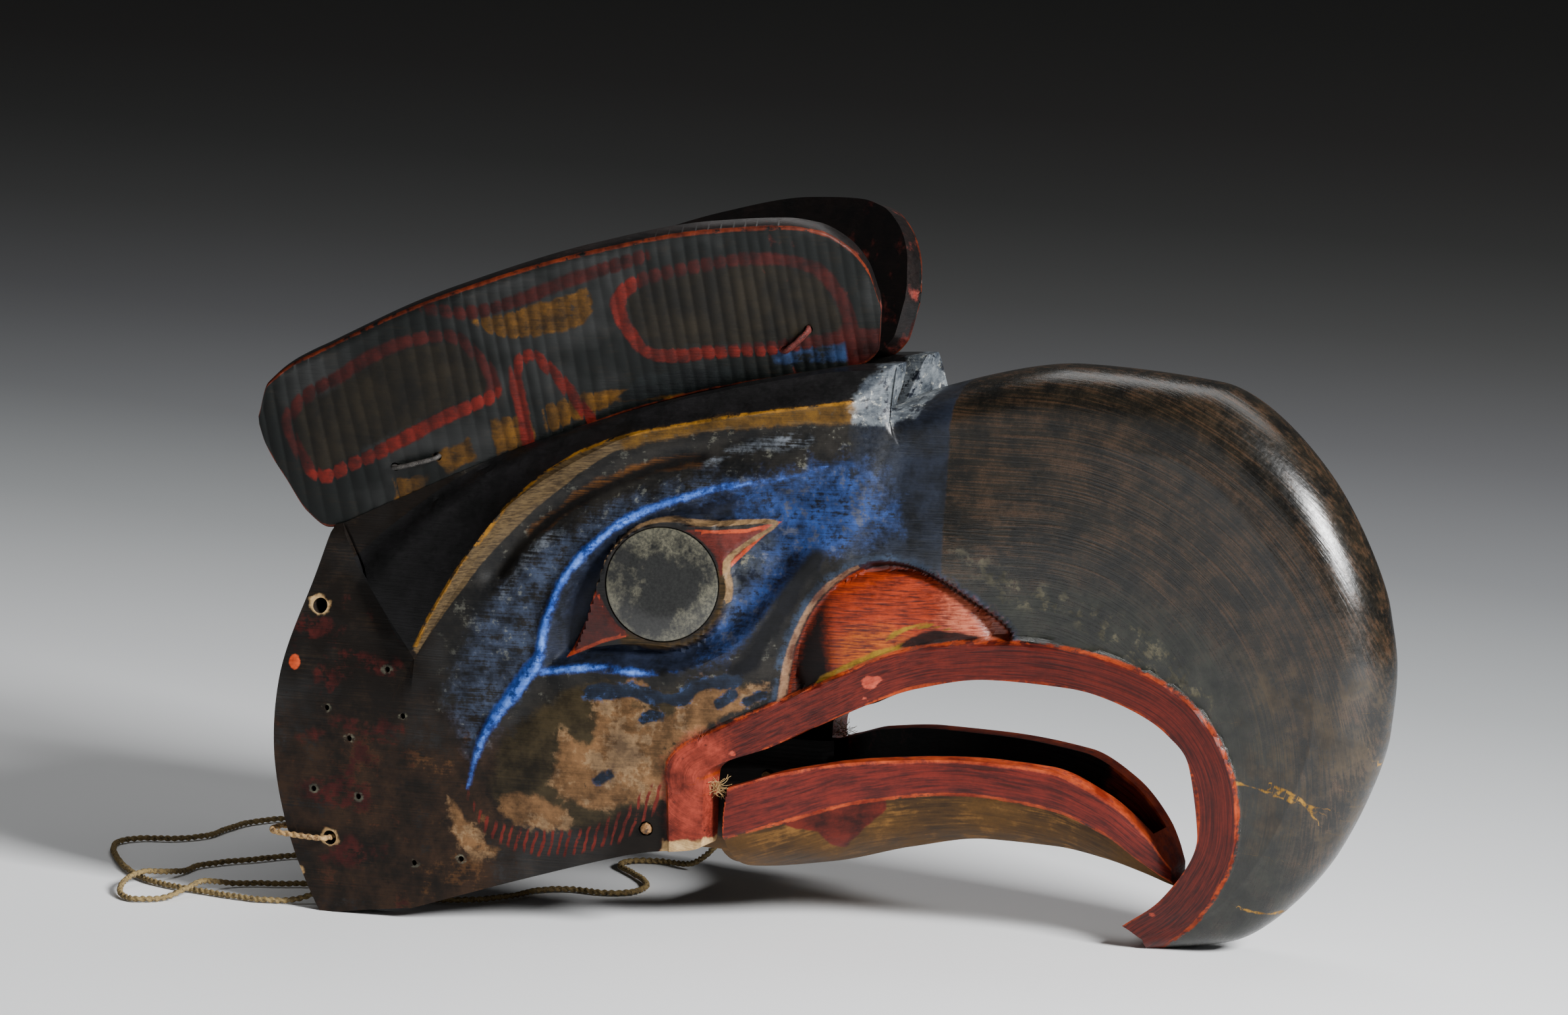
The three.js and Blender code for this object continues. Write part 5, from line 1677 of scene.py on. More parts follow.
@dataclass
class Head:
    """The mask's body: head and beak in one piece of cedar, hollowed from behind.

    Attributes:
        form: Its outer form.
        ear: Form of the ears that stand in it.
        nail_holes: X and Z of the old nail holes in each cheek.
        nail_radius: Radius of a nail hole.
        rear_hole: X, Z and width of the hole high on the rear rim.
        rim_hole: X, Z and width of the thong's hole.
        peg_hole: Width of the hole for a jaw peg.
    """

    form: HeadForm = field(default_factory=HeadForm)
    ear: EarForm = field(default_factory=EarForm)
    nail_holes: tuple[tuple[float, float], ...] = (
        (-217, 129), (-207, 106), (-233, 62), (-251, 107), (-259, 64), (-201, 30), (-175, 34),
        (-238, 92))
    nail_radius: float = 1.5
    rear_hole: tuple[float, float, float] = (-257, 159, 8)
    rim_hole: tuple[float, float, float] = (-250, 39, 7.5)
    peg_hole: float = 7.6
    crest_reach = staticmethod(track([(0, -0.5), (0.06, 2), (0.14, 5), (0.25, 7), (0.36, 3.2),
                                      (0.62, 2.4), (0.8, 1.6), (0.92, -1.5), (1, -2)]))

    def cutters(self) -> list[tuple[Object, int]]:
        """Everything taken out of the head.

        Returns:
            Each cutter with the material slot of its cut face.
        """
        found = [(HollowForm().build(), 1), (block((800, 400, 60), (0, 0, -30)), 1)]
        for side in Side:
            found.append((self.ear.build("cutter", side, 90, 12, grow=FIT), 1))
            socket = bar(self.form.eye.place(side, -3), self.form.eye.place(side, 6),
                         self.form.eye.radius + FIT, 72)
            found.append((socket, 0))
            for x, z, wide in ((*PIVOT, self.peg_hole), self.rim_hole, self.rear_hole):
                hole = bar((x, side.value * 60, z), (x, side.value * 130, z), wide / 2)
                found.append((hole, 1))
            for x, z in self.nail_holes:
                deep = HeadForm.width_middle(x) - 7
                hole = bar((x, side.value * deep, z), (x, side.value * 125, z),
                           self.nail_radius, 12)
                found.append((hole, 1))
        return found

    def grain(self, item: Object) -> None:
        """Stores the way along and across the brush, which follows the mouth and the hook.

        Args:
            item: The head.
        """
        x, _, z = corners_mm(item)
        mouth, share = beside(LIP_INNER, x, z)
        on_lip = self.form.lip_field(x, z) > -0.5
        hook_x, hook_z, hook_radius = 110, 95, 95
        on_hook = x > hook_x
        round_hook = hook_x + hook_radius * np.arctan2(x - hook_x, z - hook_z)
        from_hook = np.hypot(x - hook_x, z - hook_z)
        along = np.where(on_lip, length_of(LIP_INNER) * share, np.where(on_hook, round_hook, x))
        across = np.where(on_lip, mouth, np.where(on_hook, from_hook, z - hook_z))
        set_fields(item, {"grain_along": along, "grain_across": across})

    def rear_areas(self, x: Array, y: Array, z: Array) -> Fields:
        """Rubbed red behind the cheek, bare wood and nails round the holes, and the crown.

        Args:
            x: X of the mesh's points.
            y: Y of the points.
            z: Z of the points.

        Returns:
            The distance inside each area, by its name.
        """
        rims = [(a, b, 5.0) for a, b, _ in (self.rear_hole, self.rim_hole)]
        return {
            "rear_low": np.minimum(-150 - x, 100 - z),
            "rear_red": np.minimum(-205 - x, 156 - z),
            "rear_dabs": spots_field(((-258, 148, 4.5), (-228, 133, 3), (-220, 131, 3),
                (-249, 122, 3), (-237, 101, 3.5), (-219, 97, 4), (-260, 93, 3), (-161, 160.5, 1.3),
                (-159, 148, 1.5), (-160, 141, 1.4), (-164, 133, 1.2), (-158, 128, 1.2),
                (-245, 62, 8), (-238, 33, 7)), x, z, 2.2),
            "bare": np.maximum(spots_field((*rims, (-268, 20, 2.5)), x, z, 1.2),
                               np.minimum.reduce([x + 67, -40 - x, 51.5 - z])),
            "nail": spots_field([(a, b, 2.3) for a, b in self.nail_holes], x, z, 1.3),
            "crown": np.minimum.reduce([self.form.width_ledge(x) - 2 - np.abs(y), 10 - x,
                                        z - 195]),
            "chip": spots_field([(-270, 129, 4)], x, z, 0.8),
        }

    def beak_areas(self, x: Array, z: Array) -> Fields:
        """The beak's polish, its dull cheek, its scuffs and scratches, and the band behind it.

        Args:
            x: X of the mesh's points.
            z: Z of the points.

        Returns:
            The distance inside each area, by its name.
        """
        return {
            "beak": x - 29,
            "beak_low": np.minimum(self.form.lip_field(x, z) + 30, x - 75),
            "beak_far": np.minimum.reduce([x - 225, 152 - z, z - 60]),
            "scuff": outline_field([(69, 205), (87, 186), (105, 175), (132, 169), (148, 159),
                (196, 131), (206, 131), (184, 155), (160, 171), (132, 179)], x, z),
            "scratch": scratches_field((
                [(214, 93), (230, 90), (246, 85), (262, 82)], [(238, 92), (250, 87), (258, 76)],
                [(219, 27), (230, 24), (244, 25)], [(284, 102), (285, 94)]), x, z),
            "band": np.minimum(66 - x, x - 16),
        }

    def blue_areas(self, x: Array, z: Array) -> Fields:
        """The flank, the blue and grey round the eye with a painted highlight along the blue
        ridge's top, and a painted shadow in the groove beside the nostril.

        Args:
            x: X of the mesh's points.
            z: Z of the points.

        Returns:
            The distance inside each area, by its name.
        """
        upper, upper_along = beside(BLUE_UPPER, x, z)
        lower, lower_along = beside(BLUE_LOWER, x, z)
        reach = self.crest_reach(upper_along)
        low_crest = 1.5 - 3 * step(0.26, 0.5, lower_along) - np.abs(lower - 0.5)
        return {
            "flank": np.minimum.reduce([20 - x, x + 185, z - 112]),
            "socket": np.minimum.reduce([-upper, lower, 20 - x]),
            "haze": outline_field([(-168, 87), (-178, 112), (-174, 140), (-163, 160), (-150, 180),
                (-132, 196), (-112, 210), (-84, 222), (-50, 234), (-30, 231), (-70, 222),
                (-104, 203), (-120, 182), (-130, 158), (-134, 136), (-152, 116)], x, z),
            "mid_grey": outline_field([(-37, 183), (-33, 193), (-20, 206), (-12, 200), (-17, 183),
                (-29, 165), (-39, 154), (-42, 166)], x, z),
            "slope": outline_field([(-45, 226), (-11, 235), (9, 239), (24, 239), (38, 226),
                (38, 211), (26, 204), (8, 201), (-7, 190), (-17, 174), (-31, 157), (-44, 146),
                (-42, 158), (-32, 172), (-22, 188), (-15, 203), (-19, 214), (-34, 220)], x, z),
            # Painted shadow in the groove beside the nostril
            "hollow": line_field([(6, 196), (-1, 186), (-9, 171), (-17, 157), (-23, 145),
                (-30, 138)], 9, x, z),
            "crest": np.maximum(np.minimum(reach - upper, 1.4 + upper), low_crest),
            # Painted highlight along the top of the blue ridge
            "crest_core": np.maximum(np.minimum(0.7 * reach - 0.6 - upper, 0.8 + upper),
                                     low_crest - 0.8),
        }

    def brow_areas(self, x: Array, z: Array) -> Fields:
        """The flute over the eye painted near black as painted shade, a painted highlight with a
        grey streak on the brow, the brow with its ochre bevel, and the rubbed forehead.

        Args:
            x: X of the mesh's points.
            z: Z of the points.

        Returns:
            The distance inside each area, by its name.
        """
        arris, along = beside(np.array(BROW_EDGE, float), x, z)
        bevel = corner_field(BROW_EDGE + [
            (20, 263), (-11, 262), (-36, 259), (-59, 256), (-84, 251), (-101, 245), (-116, 235),
            (-128, 225), (-141, 214), (-155, 199), (-165, 187), (-177, 170), (-189, 154),
            (-199, 139)], x, z)
        return {
            "brown_band": line_field([(-142, 203), (-127, 214), (-110, 227), (-95, 233.5),
                (-80, 238.5), (-59, 242)], 6, x, z),
            # Painted shade in the carved groove under the brow's bevel
            "flute": line_field([(-156, 182), (-142, 200), (-126, 214), (-104, 227), (-78, 238),
                (-56, 243)], 5.5, x, z),
            # Painted highlight at the brow's front end, and a grey streak near the flute's rear end
            "shine": np.maximum(
                outline_field([(-56, 240), (-36, 247), (-16, 249), (0, 254), (-11, 257),
                               (-36, 251)], x, z),
                line_field([(-153, 172), (-140, 193), (-124, 205)], 4, x, z)),
            "brow": corner_field(BROW_EDGE + [
                (33, 292), (8, 291), (-49, 282), (-80, 274), (-150, 250), (-195, 222),
                (-221, 202), (-241, 184), (-224, 161), (-210, 142)], x, z),
            "bevel": bevel,
            "bevel_front": np.minimum(bevel, x + 95),
            "arris": only((along > 0) & (along < 1), arris),
            "forehead": outline_field([(18, 262), (20, 284), (32, 292), (50, 284), (48, 270),
                (34, 262)], x, z),
        }

    def cheek_areas(self, x: Array, z: Array) -> Fields:
        """Tan wood where the cheek's olive paint is lost, the blue left on it, and red hatching.

        Args:
            x: X of the mesh's points.
            z: Z of the points.

        Returns:
            The distance inside each area, by its name.
        """
        tan = np.maximum.reduce([outline_field(outline, x, z) for outline in (
            [(-120, 104), (-109, 99), (-92, 105), (-85, 112), (-76, 110), (-77, 74), (-99, 65),
             (-114, 69), (-124, 75), (-121, 89)],
            [(-100, 115), (-88, 114), (-77, 125), (-76, 132), (-91, 128), (-102, 119)],
            [(-158, 63), (-148, 70), (-129, 69), (-117, 61), (-119, 55), (-144, 54)],
            [(-181, 63), (-175, 60), (-163, 44), (-154, 40), (-161, 37), (-172, 39), (-179, 49)],
            [(-100, 118), (-91, 123), (-79, 119), (-64, 116), (-50, 128), (-45, 135), (-35, 134),
             (-28, 130), (-21, 133), (-15, 130), (-41, 111), (-61, 98), (-62, 75), (-100, 73)])])
        islands = np.maximum.reduce([line_field(points, wide, x, z) for points, wide in (
            ([(-39, 122), (-35, 124), (-31, 127)], 5), ([(-25, 123), (-21, 126), (-17, 127)], 4),
            ([(-76, 113), (-71, 115), (-66, 114)], 5), ([(-100, 80), (-96, 83), (-93, 84)], 5),
            ([(-104, 125), (-85, 127), (-72, 125), (-58, 124), (-48, 131), (-30, 134)], 7))])
        return {
            "olive": outline_field([(-159, 73), (-153, 93), (-137, 111), (-114, 126), (-91, 131),
                (-60, 128), (-20, 132), (-41, 111), (-61, 98), (-61, 75), (-77, 68), (-101, 56),
                (-130, 54), (-153, 60)], x, z),
            "cheek_tan": tan,
            "flake": islands,
            "hatch": outline_field([(-175, 76), (-164, 59), (-149, 53), (-128, 51), (-106, 55),
                (-85, 67), (-69, 81), (-70, 68), (-86, 52), (-102, 44), (-123, 39), (-144, 40),
                (-162, 49)], x, z),
        }

    def eye_areas(self, x: Array, z: Array) -> Fields:
        """The eye's dark field, its red corners, its crescent and its lid.

        Args:
            x: X of the mesh's points.
            z: Z of the points.

        Returns:
            The distance inside each area, by its name.
        """
        eye = inside(EYE_OUTLINE, x, z)
        disc = np.hypot(x - self.form.eye.x, z - self.form.eye.z) - self.form.eye.radius
        corners = np.minimum(disc - FIT, np.maximum(
            corner_field([(-60, 209), (-43, 208.5), (-30, 209), (-15, 213), (-27, 202), (-37, 191),
                          (-41, 184), (-45, 190), (-52, 200)], x, z),
            corner_field([(-101, 178), (-96, 168), (-91, 161), (-84, 155), (-98, 151),
                          (-119, 141.5), (-113, 155), (-107, 168)], x, z)))
        return {
            "eye_field": eye - 1.2,
            "crescent": np.minimum(line_field([(-40, 186), (-37, 174), (-41, 162), (-50, 153),
                                               (-62, 149), (-77, 149), (-86, 153)], 7, x, z), eye),
            "eye_red": corners,
            "eye_red_edge": only(disc > 2, corners - 0.5),
            "lid": only(z > 172, eye - 0.4),
        }

    def mouth_areas(self, x: Array, z: Array) -> Fields:
        """The nostril, with painted shade on its ball's left side, a painted highlight on its right
        and a painted shadow under its curled edge, and the red band along the mouth.

        Args:
            x: X of the mesh's points.
            z: Z of the points.

        Returns:
            The distance inside each area, by its name.
        """
        mouth = beside(LIP_INNER, x, z)[0]
        lip = self.form.lip_field(x, z)
        nostril = inside(NOSTRIL_OUTLINE, x, z)
        return {
            "rim_ridge": 1.8 - np.abs(nostril + 2.8),
            "nostril": nostril - np.where(x < 26, 0.6, 2.0),
            "nostril_low": np.minimum(nostril - 2, 11 - np.hypot((x - 34) / 1.8, z - 149)),
            # Painted highlight on the right of the nostril's ball
            "nostril_right": np.minimum(nostril - 2, x - 66),
            # Painted shade on the left side of the nostril's ball
            "nostril_dark": np.minimum(nostril - 0.6, 14 - x - 0.1 * (z - 140)),
            "nostril_gold": np.maximum(
                np.minimum.reduce([1.5 - np.abs(lip + 1.8), x - 6, 48 - x]),
                line_field([(40, 156), (49, 161), (60, 163), (70, 160.5)], 2.2, x, z)),
            # Painted shadow along the nostril's upper edge and under its curled lower edge
            "notch": np.maximum(
                corner_field([(43, 152), (56, 159), (63, 161), (74, 159.5), (91, 156), (75, 153),
                              (60, 151)], x, z),
                np.minimum.reduce([nostril + 1, 2.2 - nostril, x - 30, z - 158])),
            "nostril_rim": only(x < 26, nostril + 0.8),
            "lip": lip,
            "lip_rear": np.minimum(lip, -34 - x),
            "lip_edge": np.where(np.abs(lip - 0.3) < np.abs(mouth), lip - 0.3, -mouth),
            "lip_chip": spots_field(((33, 134, 2.6), (29, 126, 1.4), (98, 137, 1.2), (-6, 113, 1),
                (170, 20, 1.2), (-30, 97, 1.1)), x, z, 1.6),
        }

    def paint(self, item: Object) -> None:
        """Stores the distance inside each painted area.

        Args:
            item: The head.
        """
        x, y, z = corners_mm(item)
        areas = self.rear_areas(x, y, z)
        for lay_out in (self.beak_areas, self.blue_areas, self.brow_areas, self.cheek_areas,
                        self.eye_areas, self.mouth_areas):
            areas |= lay_out(x, z)
        set_fields(item, areas)

    def build(self, finishes: Finishes) -> Object:
        """Makes the head, cuts it and dresses it.

        Args:
            finishes: The mask's finishes.

        Returns:
            The head's object.
        """
        item = self.form.build()
        slots = [finishes.head.build(), finishes.hollow.build()]
        for slot in slots:
            item.data.materials.append(slot)
        cutters = self.cutters()
        for cutter, index in cutters:
            for slot in slots:
                cutter.data.materials.append(slot)
            cutter.data.polygons.foreach_set("material_index", [index] * len(cutter.data.polygons))
        cut(item, [cutter for cutter, _ in cutters])
        self.grain(item)
        self.paint(item)
        finish_surface(item)
        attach(item, "head")
        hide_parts("mask_body")
        LOG.info("%s: %d faces", item.name, len(item.data.polygons))
        return item


@dataclass
class Jaw:
    """The lower jaw, bored for its two pegs.

    Attributes:
        form: Its outer form.
        bore: Width of the bore for a peg.
        gap: Half the width between its arms.
        gap_end: X where its arms meet the trough.
        soot: How fast the painted shade of the trough's inside comes up, in millimetres.
        least: Least half width and depth of the inside, where the wood has none.
    """

    form: JawForm = field(default_factory=JawForm)
    bore: float = 7.4
    gap: float = 57.0
    gap_end: float = -50.0
    # Rise of the painted shade inside the trough
    soot: float = 15.0
    least: float = 1.0

    def paint(self, item: Object) -> None:
        """Stores the distance inside each painted area.

        Args:
            item: The jaw.
        """
        x, y, z = corners_mm(item)
        form = self.form
        wide, top, foot = form.wide(x), form.top(x), form.lip(x)
        lip = np.minimum(z - foot, x - form.lip_begin(z))
        inner_wide = np.maximum(wide - form.wall + 1.5, self.least)
        inner_deep = np.maximum(top - form.bottom(x) - form.wall + 1.5, self.least)
        within = (1 - (np.abs(y) / inner_wide) ** form.power
                  - (np.maximum(top - z, 0) / inner_deep) ** form.power)
        areas = {
            "grain_along": x,
            "grain_across": z - foot,
            "jaw_lip": lip,
            "jaw_tongue": corner_field([(-18, 63), (-7, 56), (3, 54), (7, 46), (13, 45), (23, 55),
                (37, 67), (37, 76), (-18, 70)], x, z),
            "jaw_top": np.minimum.reduce([z - top + 1.5, x + 40, np.abs(y) - wide + 9.5]),
            "jaw_edge": np.where((top - z < 6) & (lip > 0), top - 0.4 - z, lip - 0.3),
            # Painted shade inside the trough
            "jaw_inside": self.soot * within,
        }
        set_fields(item, areas)

    def build(self, finishes: Finishes) -> Object:
        """Makes the jaw, cuts it and dresses it.

        Args:
            finishes: The mask's finishes.

        Returns:
            The jaw's object.
        """
        item = self.form.build()
        item.data.materials.append(finishes.jaw.build())
        length = self.gap_end - self.form.rear + 20
        cutters = [self.form.hollow(),
                   block((length, 2 * self.gap, 160), (self.gap_end - length / 2, 0, 60))]
        x, z = PIVOT
        cutters += [bar((x, side.value * 45, z), (x, side.value * 85, z), self.bore / 2)
                    for side in Side]
        cut(item, cutters)
        self.paint(item)
        finish_surface(item)
        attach(item, "jaw")
        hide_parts("lower_jaw")
        LOG.info("%s: %d faces", item.name, len(item.data.polygons))
        return item


@dataclass
class Ear:
    """One ear board with the laces through it.

    Attributes:
        side: The side it stands on.
        form: Its form.
        hole: Width of a lace's hole.
        rear_lace: X and Z of the rear lace's two holes.
        front_tie: X and Z of the front tie's two holes.
        tail: Where a lace's ends reach, out from the face.
    """

    side: Side
    form: EarForm = field(default_factory=EarForm)
    hole: float = 4.6
    rear_lace: tuple[tuple[float, float], ...] = ((-219, 232), (-197, 238))
    front_tie: tuple[tuple[float, float], ...] = ((-23, 297), (-11, 308))
    tail: float = -17.0

    def place(self, x: float, z: float, out: float) -> Array:
        """A point on this ear, a distance out from its face."""
        return self.form.point(x, z, out) * (1, self.side.value, 1)

    def face_areas(self, x: Array, z: Array) -> Fields:
        """The painted rings, ochre, blue and black of the gouged face.

        Args:
            x: X of the mesh's points.
            z: Z of the points.

        Returns:
            The distance inside each area, by its name.
        """
        rear = smooth_line([(-274, 252), (-270, 260), (-261, 269), (-245, 278), (-226, 290),
                            (-207, 298), (-193, 301), (-181, 301), (-172, 293), (-166, 284),
                            (-164, 275), (-169, 269), (-178, 265), (-194, 257), (-220, 243),
                            (-236, 235), (-250, 228), (-258, 225), (-265, 231), (-270, 241)],
                           closed=True)
        front = smooth_line([(-99, 320), (-95, 327), (-84, 334), (-66, 339), (-47, 343),
                             (-31, 345), (-15, 344), (-2, 339), (4, 330), (8, 319), (9, 310),
                             (4, 304), (-5, 302), (-29, 298), (-61, 295), (-77, 293),
                             (-88, 295), (-93, 302), (-97, 311)], closed=True)
        rear_ring, front_ring = (3.3 - np.abs(beside(ring, x, z)[0]) for ring in (rear, front))
        top_line = line_field([(-196, 316), (-175, 314), (-154, 319), (-136, 326), (-119, 333),
                               (-102, 339), (-83, 346)], 6.5, x, z)
        arch = line_field([(-151, 243), (-152, 263), (-153, 284), (-145, 293), (-137, 287),
                           (-130, 278), (-120, 259)], 6.5, x, z)
        ochre = [corner_field(outline, x, z) for outline in (
            [(-173, 310), (-154, 315), (-130, 322), (-113, 329), (-110, 324), (-112, 316),
             (-115, 309), (-125, 307), (-139, 303), (-154, 301), (-166, 305)],
            [(-169, 257), (-149, 263), (-147, 248), (-168, 239)],
            [(-142, 265), (-120, 274), (-75, 277), (-75, 270), (-107, 269), (-120, 261),
             (-142, 252)],
            [(-199, 238), (-180, 249), (-178, 237), (-192, 229)],
            [(-220, 225), (-201, 229), (-205, 221), (-221, 212)])]
        rear_bottom = 231 + 0.467 * (x + 258) - z
        missed = 2.6 * step(0.45, 1, -self.form.grooves(x, z) / self.form.groove_depth)
        return {
            "ear_olive": np.maximum(inside(rear, x, z), inside(front, x, z)) - 3,
            "ear_ochre": np.maximum.reduce(ochre) - missed,
            "ear_blue": corner_field([(-28, 296), (10, 303), (12, 292), (-29, 289)], x, z),
            "ear_black": corner_field([(-108, 269), (-97, 278), (-93, 283), (-57, 288), (-43, 286),
                (-61, 277), (-93, 269)], x, z),
            "ear_ring": np.maximum(
                np.maximum.reduce([rear_ring, front_ring, top_line]) - missed,
                np.minimum(x - 5, 308 - z)),
            "ear_bright": np.maximum.reduce([
                np.minimum(front_ring, np.maximum(-87 - x, 298.5 - z)),
                np.minimum(rear_ring, rear_bottom), arch]) - missed,
        }

    def paint(self, item: Object) -> None:
        """Stores the distance inside each painted area of the board.

        Args:
            item: The board.
        """
        x, y, z = corners_mm(item)
        deep = (self.form.face(x, z) - np.abs(y)) * 0.95
        edge = np.minimum(self.form.top(x) - z, z - self.form.bottom(x))
        areas = self.face_areas(x, z) | {
            "grain_along": x,
            "grain_across": z,
            "ear_back": deep - 2.2,
            "ear_edge": np.minimum(10.2 - deep, deep - 2.6),
            "ear_edge_red": np.minimum.reduce([10.2 - deep, deep - 2.6, x + 25]),
            "ear_line": np.minimum(1.3 - np.abs(edge - 0.2), 1.8 - np.abs(deep - 0.6)),
        }
        set_fields(item, areas)

    def build(self, finishes: Finishes, wood: Material) -> Object:
        """Makes the board, bores it, dresses it and laces it.

        Args:
            finishes: The mask's finishes, for the laces.
            wood: The board's material.

        Returns:
            The board's object.
        """
        item = self.form.build(f"ear_board_{self.side.word}", self.side, 520, 36, carved=True)
        item.data.materials.append(wood)
        back = -self.form.thick - 4
        cut(item, [bar(self.place(x, z, back), self.place(x, z, 4), self.hole / 2, 16)
                   for x, z in (*self.rear_lace, *self.front_tie)])
        self.paint(item)
        finish_surface(item, 50)
        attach(item, "head")
        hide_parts(f"ear_{self.side.word}")
        self.lace("rear_lace", self.rear_lace, finishes.leather)
        self.lace("front_tie", self.front_tie, finishes.red_hide)
        LOG.info("%s: %d faces", item.name, len(item.data.polygons))
        return item

    def lace(self, kind: str, ends: Sequence[Sequence[float]], finish: MottledSurface) -> Object:
        """A flat strip of hide through two holes, its ends left long behind the board.

        Args:
            kind: The lace's name without its side.
            ends: X and Z of its two holes.
            finish: Its finish.

        Returns:
            The lace's object.
        """
        first, last = ends
        behind = -self.form.thick - 2
        spots = [(first, self.tail), (first, behind), (first, -3), (first, 1.6),
                 (last, 1.6), (last, -3), (last, behind), (last, self.tail)]
        path = cord_line([self.place(*spot, out) for spot, out in spots], 0.8)

        def strip(angle: Array, run: Array) -> Array:
            """Radius of a strip twice as wide as it is thick, a little uneven.

            Args:
                angle: Angles round the strip.
                run: Distance along it.

            Returns:
                A radius for each angle.
            """
            c, s = np.abs(np.cos(angle)) / 1.75, np.abs(np.sin(angle)) / 1.2
            uneven = 1 + 0.06 * np.sin(run * 0.9) + 0.03 * np.sin(run * 2.3)
            return (c**3 + s**3) ** (-1 / 3) * uneven

        item = tube(f"{kind}_{self.side.word}", path, strip, 16)
        item.data.materials.append(finish.build())
        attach(item, "head")
        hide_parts(f"ear_{kind}_{self.side.word}")
        return item


@dataclass(frozen=True)
class SilveredGlass:
    """Hand-silvered plate glass, its silver gone black in the middle and grey along the rim.

    Attributes:
        rim: Two colours of the silver left along the rim.
        lost: Two colours of the glass where the silver is gone.
        blotch: Size of the blotches of decay, in millimetres.
        spread: How much the decay grows for each millimetre from the rim.
    """

    rim: tuple[str, str] = ("#2f2f28", "#5c594a")
    lost: tuple[str, str] = ("#060706", "#1c1d1b")
    blotch: float = 21.0
    spread: float = 0.0115

    def build(self) -> Material:
        """Makes the material, its pattern sizes in millimetres of Object coordinates.

        Returns:
            The new material.
        """
        material, tree = bare_material("mirror_glass_hand_silvered")
        place = node(tree, "ShaderNodeTexCoord").outputs["Object"]
        coarse, fine = (node(tree, "ShaderNodeTexNoise", {
            "Vector": place, "Scale": 1000 / size, "Detail": 6.0, "Roughness": rough})
            for size, rough in ((self.blotch, 0.66), (1.5, 0.7)))
        depth = node(tree, "ShaderNodeAttribute", attribute_name="from_rim").outputs["Fac"]
        decay = node(tree, "ShaderNodeMath", {0: depth, 1: self.spread, 2: coarse},
                     operation="MULTIPLY_ADD")
        gone = node(tree, "ShaderNodeMapRange", {
            "Value": decay, "From Min": 0.51, "From Max": 0.63})
        grit = node(tree, "ShaderNodeMapRange", {
            "Value": fine, "From Min": 0.38, "From Max": 0.62})
        kept, lost = (node(tree, "ShaderNodeMix", {0: grit, 6: colour(dark), 7: colour(light)},
                           data_type="RGBA") for dark, light in (self.rim, self.lost))
        skin = node(tree, "ShaderNodeMix", {0: gone, 6: kept, 7: lost}, data_type="RGBA")
        shader = node(tree, "ShaderNodeBsdfPrincipled", {
            "Base Color": skin, "Roughness": 0.4, "Coat Weight": 0.5, "Coat Roughness": 0.12})
        node(tree, "ShaderNodeOutputMaterial", {"Surface": shader})
        return material


@dataclass
class Mirror:
    """A round of old mirror glass let into the eye.

    Attributes:
        side: The side of the mask.
        eye: The face that carries it.
        thick: Its thickness.
        sunk: How far its face lies below the eye's.
        bevel: Width of the bevel ground round its edge.
    """

    side: Side
    eye: EyeFace = field(default_factory=EyeFace)
    thick: float = 2.4
    sunk: float = 0.3
    bevel: float = 1.3

    def build(self, glass: Material) -> Object:
        """Makes the disc with a ground bevel round its edge.

        Args:
            glass: Its material.

        Returns:
            The mirror's object.
        """
        n = self.eye.normal(self.side)
        across = np.cross(n, (0, 0, 1))
        across /= np.linalg.norm(across)
        up = np.cross(across, n)
        turn = np.linspace(0, 2 * math.pi, 96, endpoint=False)[:, None]
        radius = self.eye.radius - 0.2
        profile = [(0.6, -self.thick), (radius - 0.3, -self.thick), (radius, -self.thick + 0.3),
                   (radius, -0.6), (radius - 0.2, -0.35), (radius - self.bevel, 0.0),
                   (radius * 0.5, 0.05), (0.6, 0.1)]
        centre = self.eye.place(self.side, -self.sunk)
        rings = [centre + n * out + r * (np.cos(turn) * across + np.sin(turn) * up)
                 for r, out in profile]
        item = mesh_object(f"mirror_{self.side.word}", *loft(np.array(rings)))
        finish_surface(item, 20)
        item.data.materials.append(glass)
        away = np.stack(corners_mm(item), axis=1) - centre
        from_axis = np.linalg.norm(away - np.outer(away @ n, n), axis=1)
        set_fields(item, {"from_rim": radius - from_axis})
        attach(item, "head")
        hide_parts(f"eye_mirror_{self.side.word}")
        return item


@dataclass
class Peg:
    """A whittled peg through cheek and jaw.

    Attributes:
        side: The side of the mask.
        inner: Distance of its inner end from the centre plane.
        length: Its length.
        radius: Its radius.
        facets: How many knife cuts go round it.
    """

    side: Side
    inner: float = 54.0
    length: float = 40.0
    radius: float = 3.2
    facets: int = 9

    def build(self, wood: Material) -> Object:
        """Makes the peg with knife facets and a rounded outer end.

        Args:
            wood: Its material.

        Returns:
            The peg's object.
        """
        places = [(0, 0.55), (0.4, 0.9), (3, 0.98), (self.length / 2, 1.0),
                  (self.length - 6, 0.97), (self.length - 2, 0.93), (self.length - 0.4, 0.7),
                  (self.length, 0.35)]
        turn = np.linspace(0, 2 * math.pi, self.facets, endpoint=False)
        rings = []
        for run, share in places:
            radius = self.radius * share * (1 + 0.04 * np.sin(3 * turn + run / 9))
            rings.append(np.stack([PIVOT[0] + radius * np.cos(turn + 0.003 * run),
                                   np.full(self.facets, self.side.value * (self.inner + run)),
                                   PIVOT[1] + radius * np.sin(turn + 0.003 * run)], axis=1))
        item = mesh_object(f"peg_{self.side.word}", *loft(np.array(rings)))
        item.data.materials.append(wood)
        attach(item, "head")
        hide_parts(f"jaw_peg_{self.side.word}")
        return item


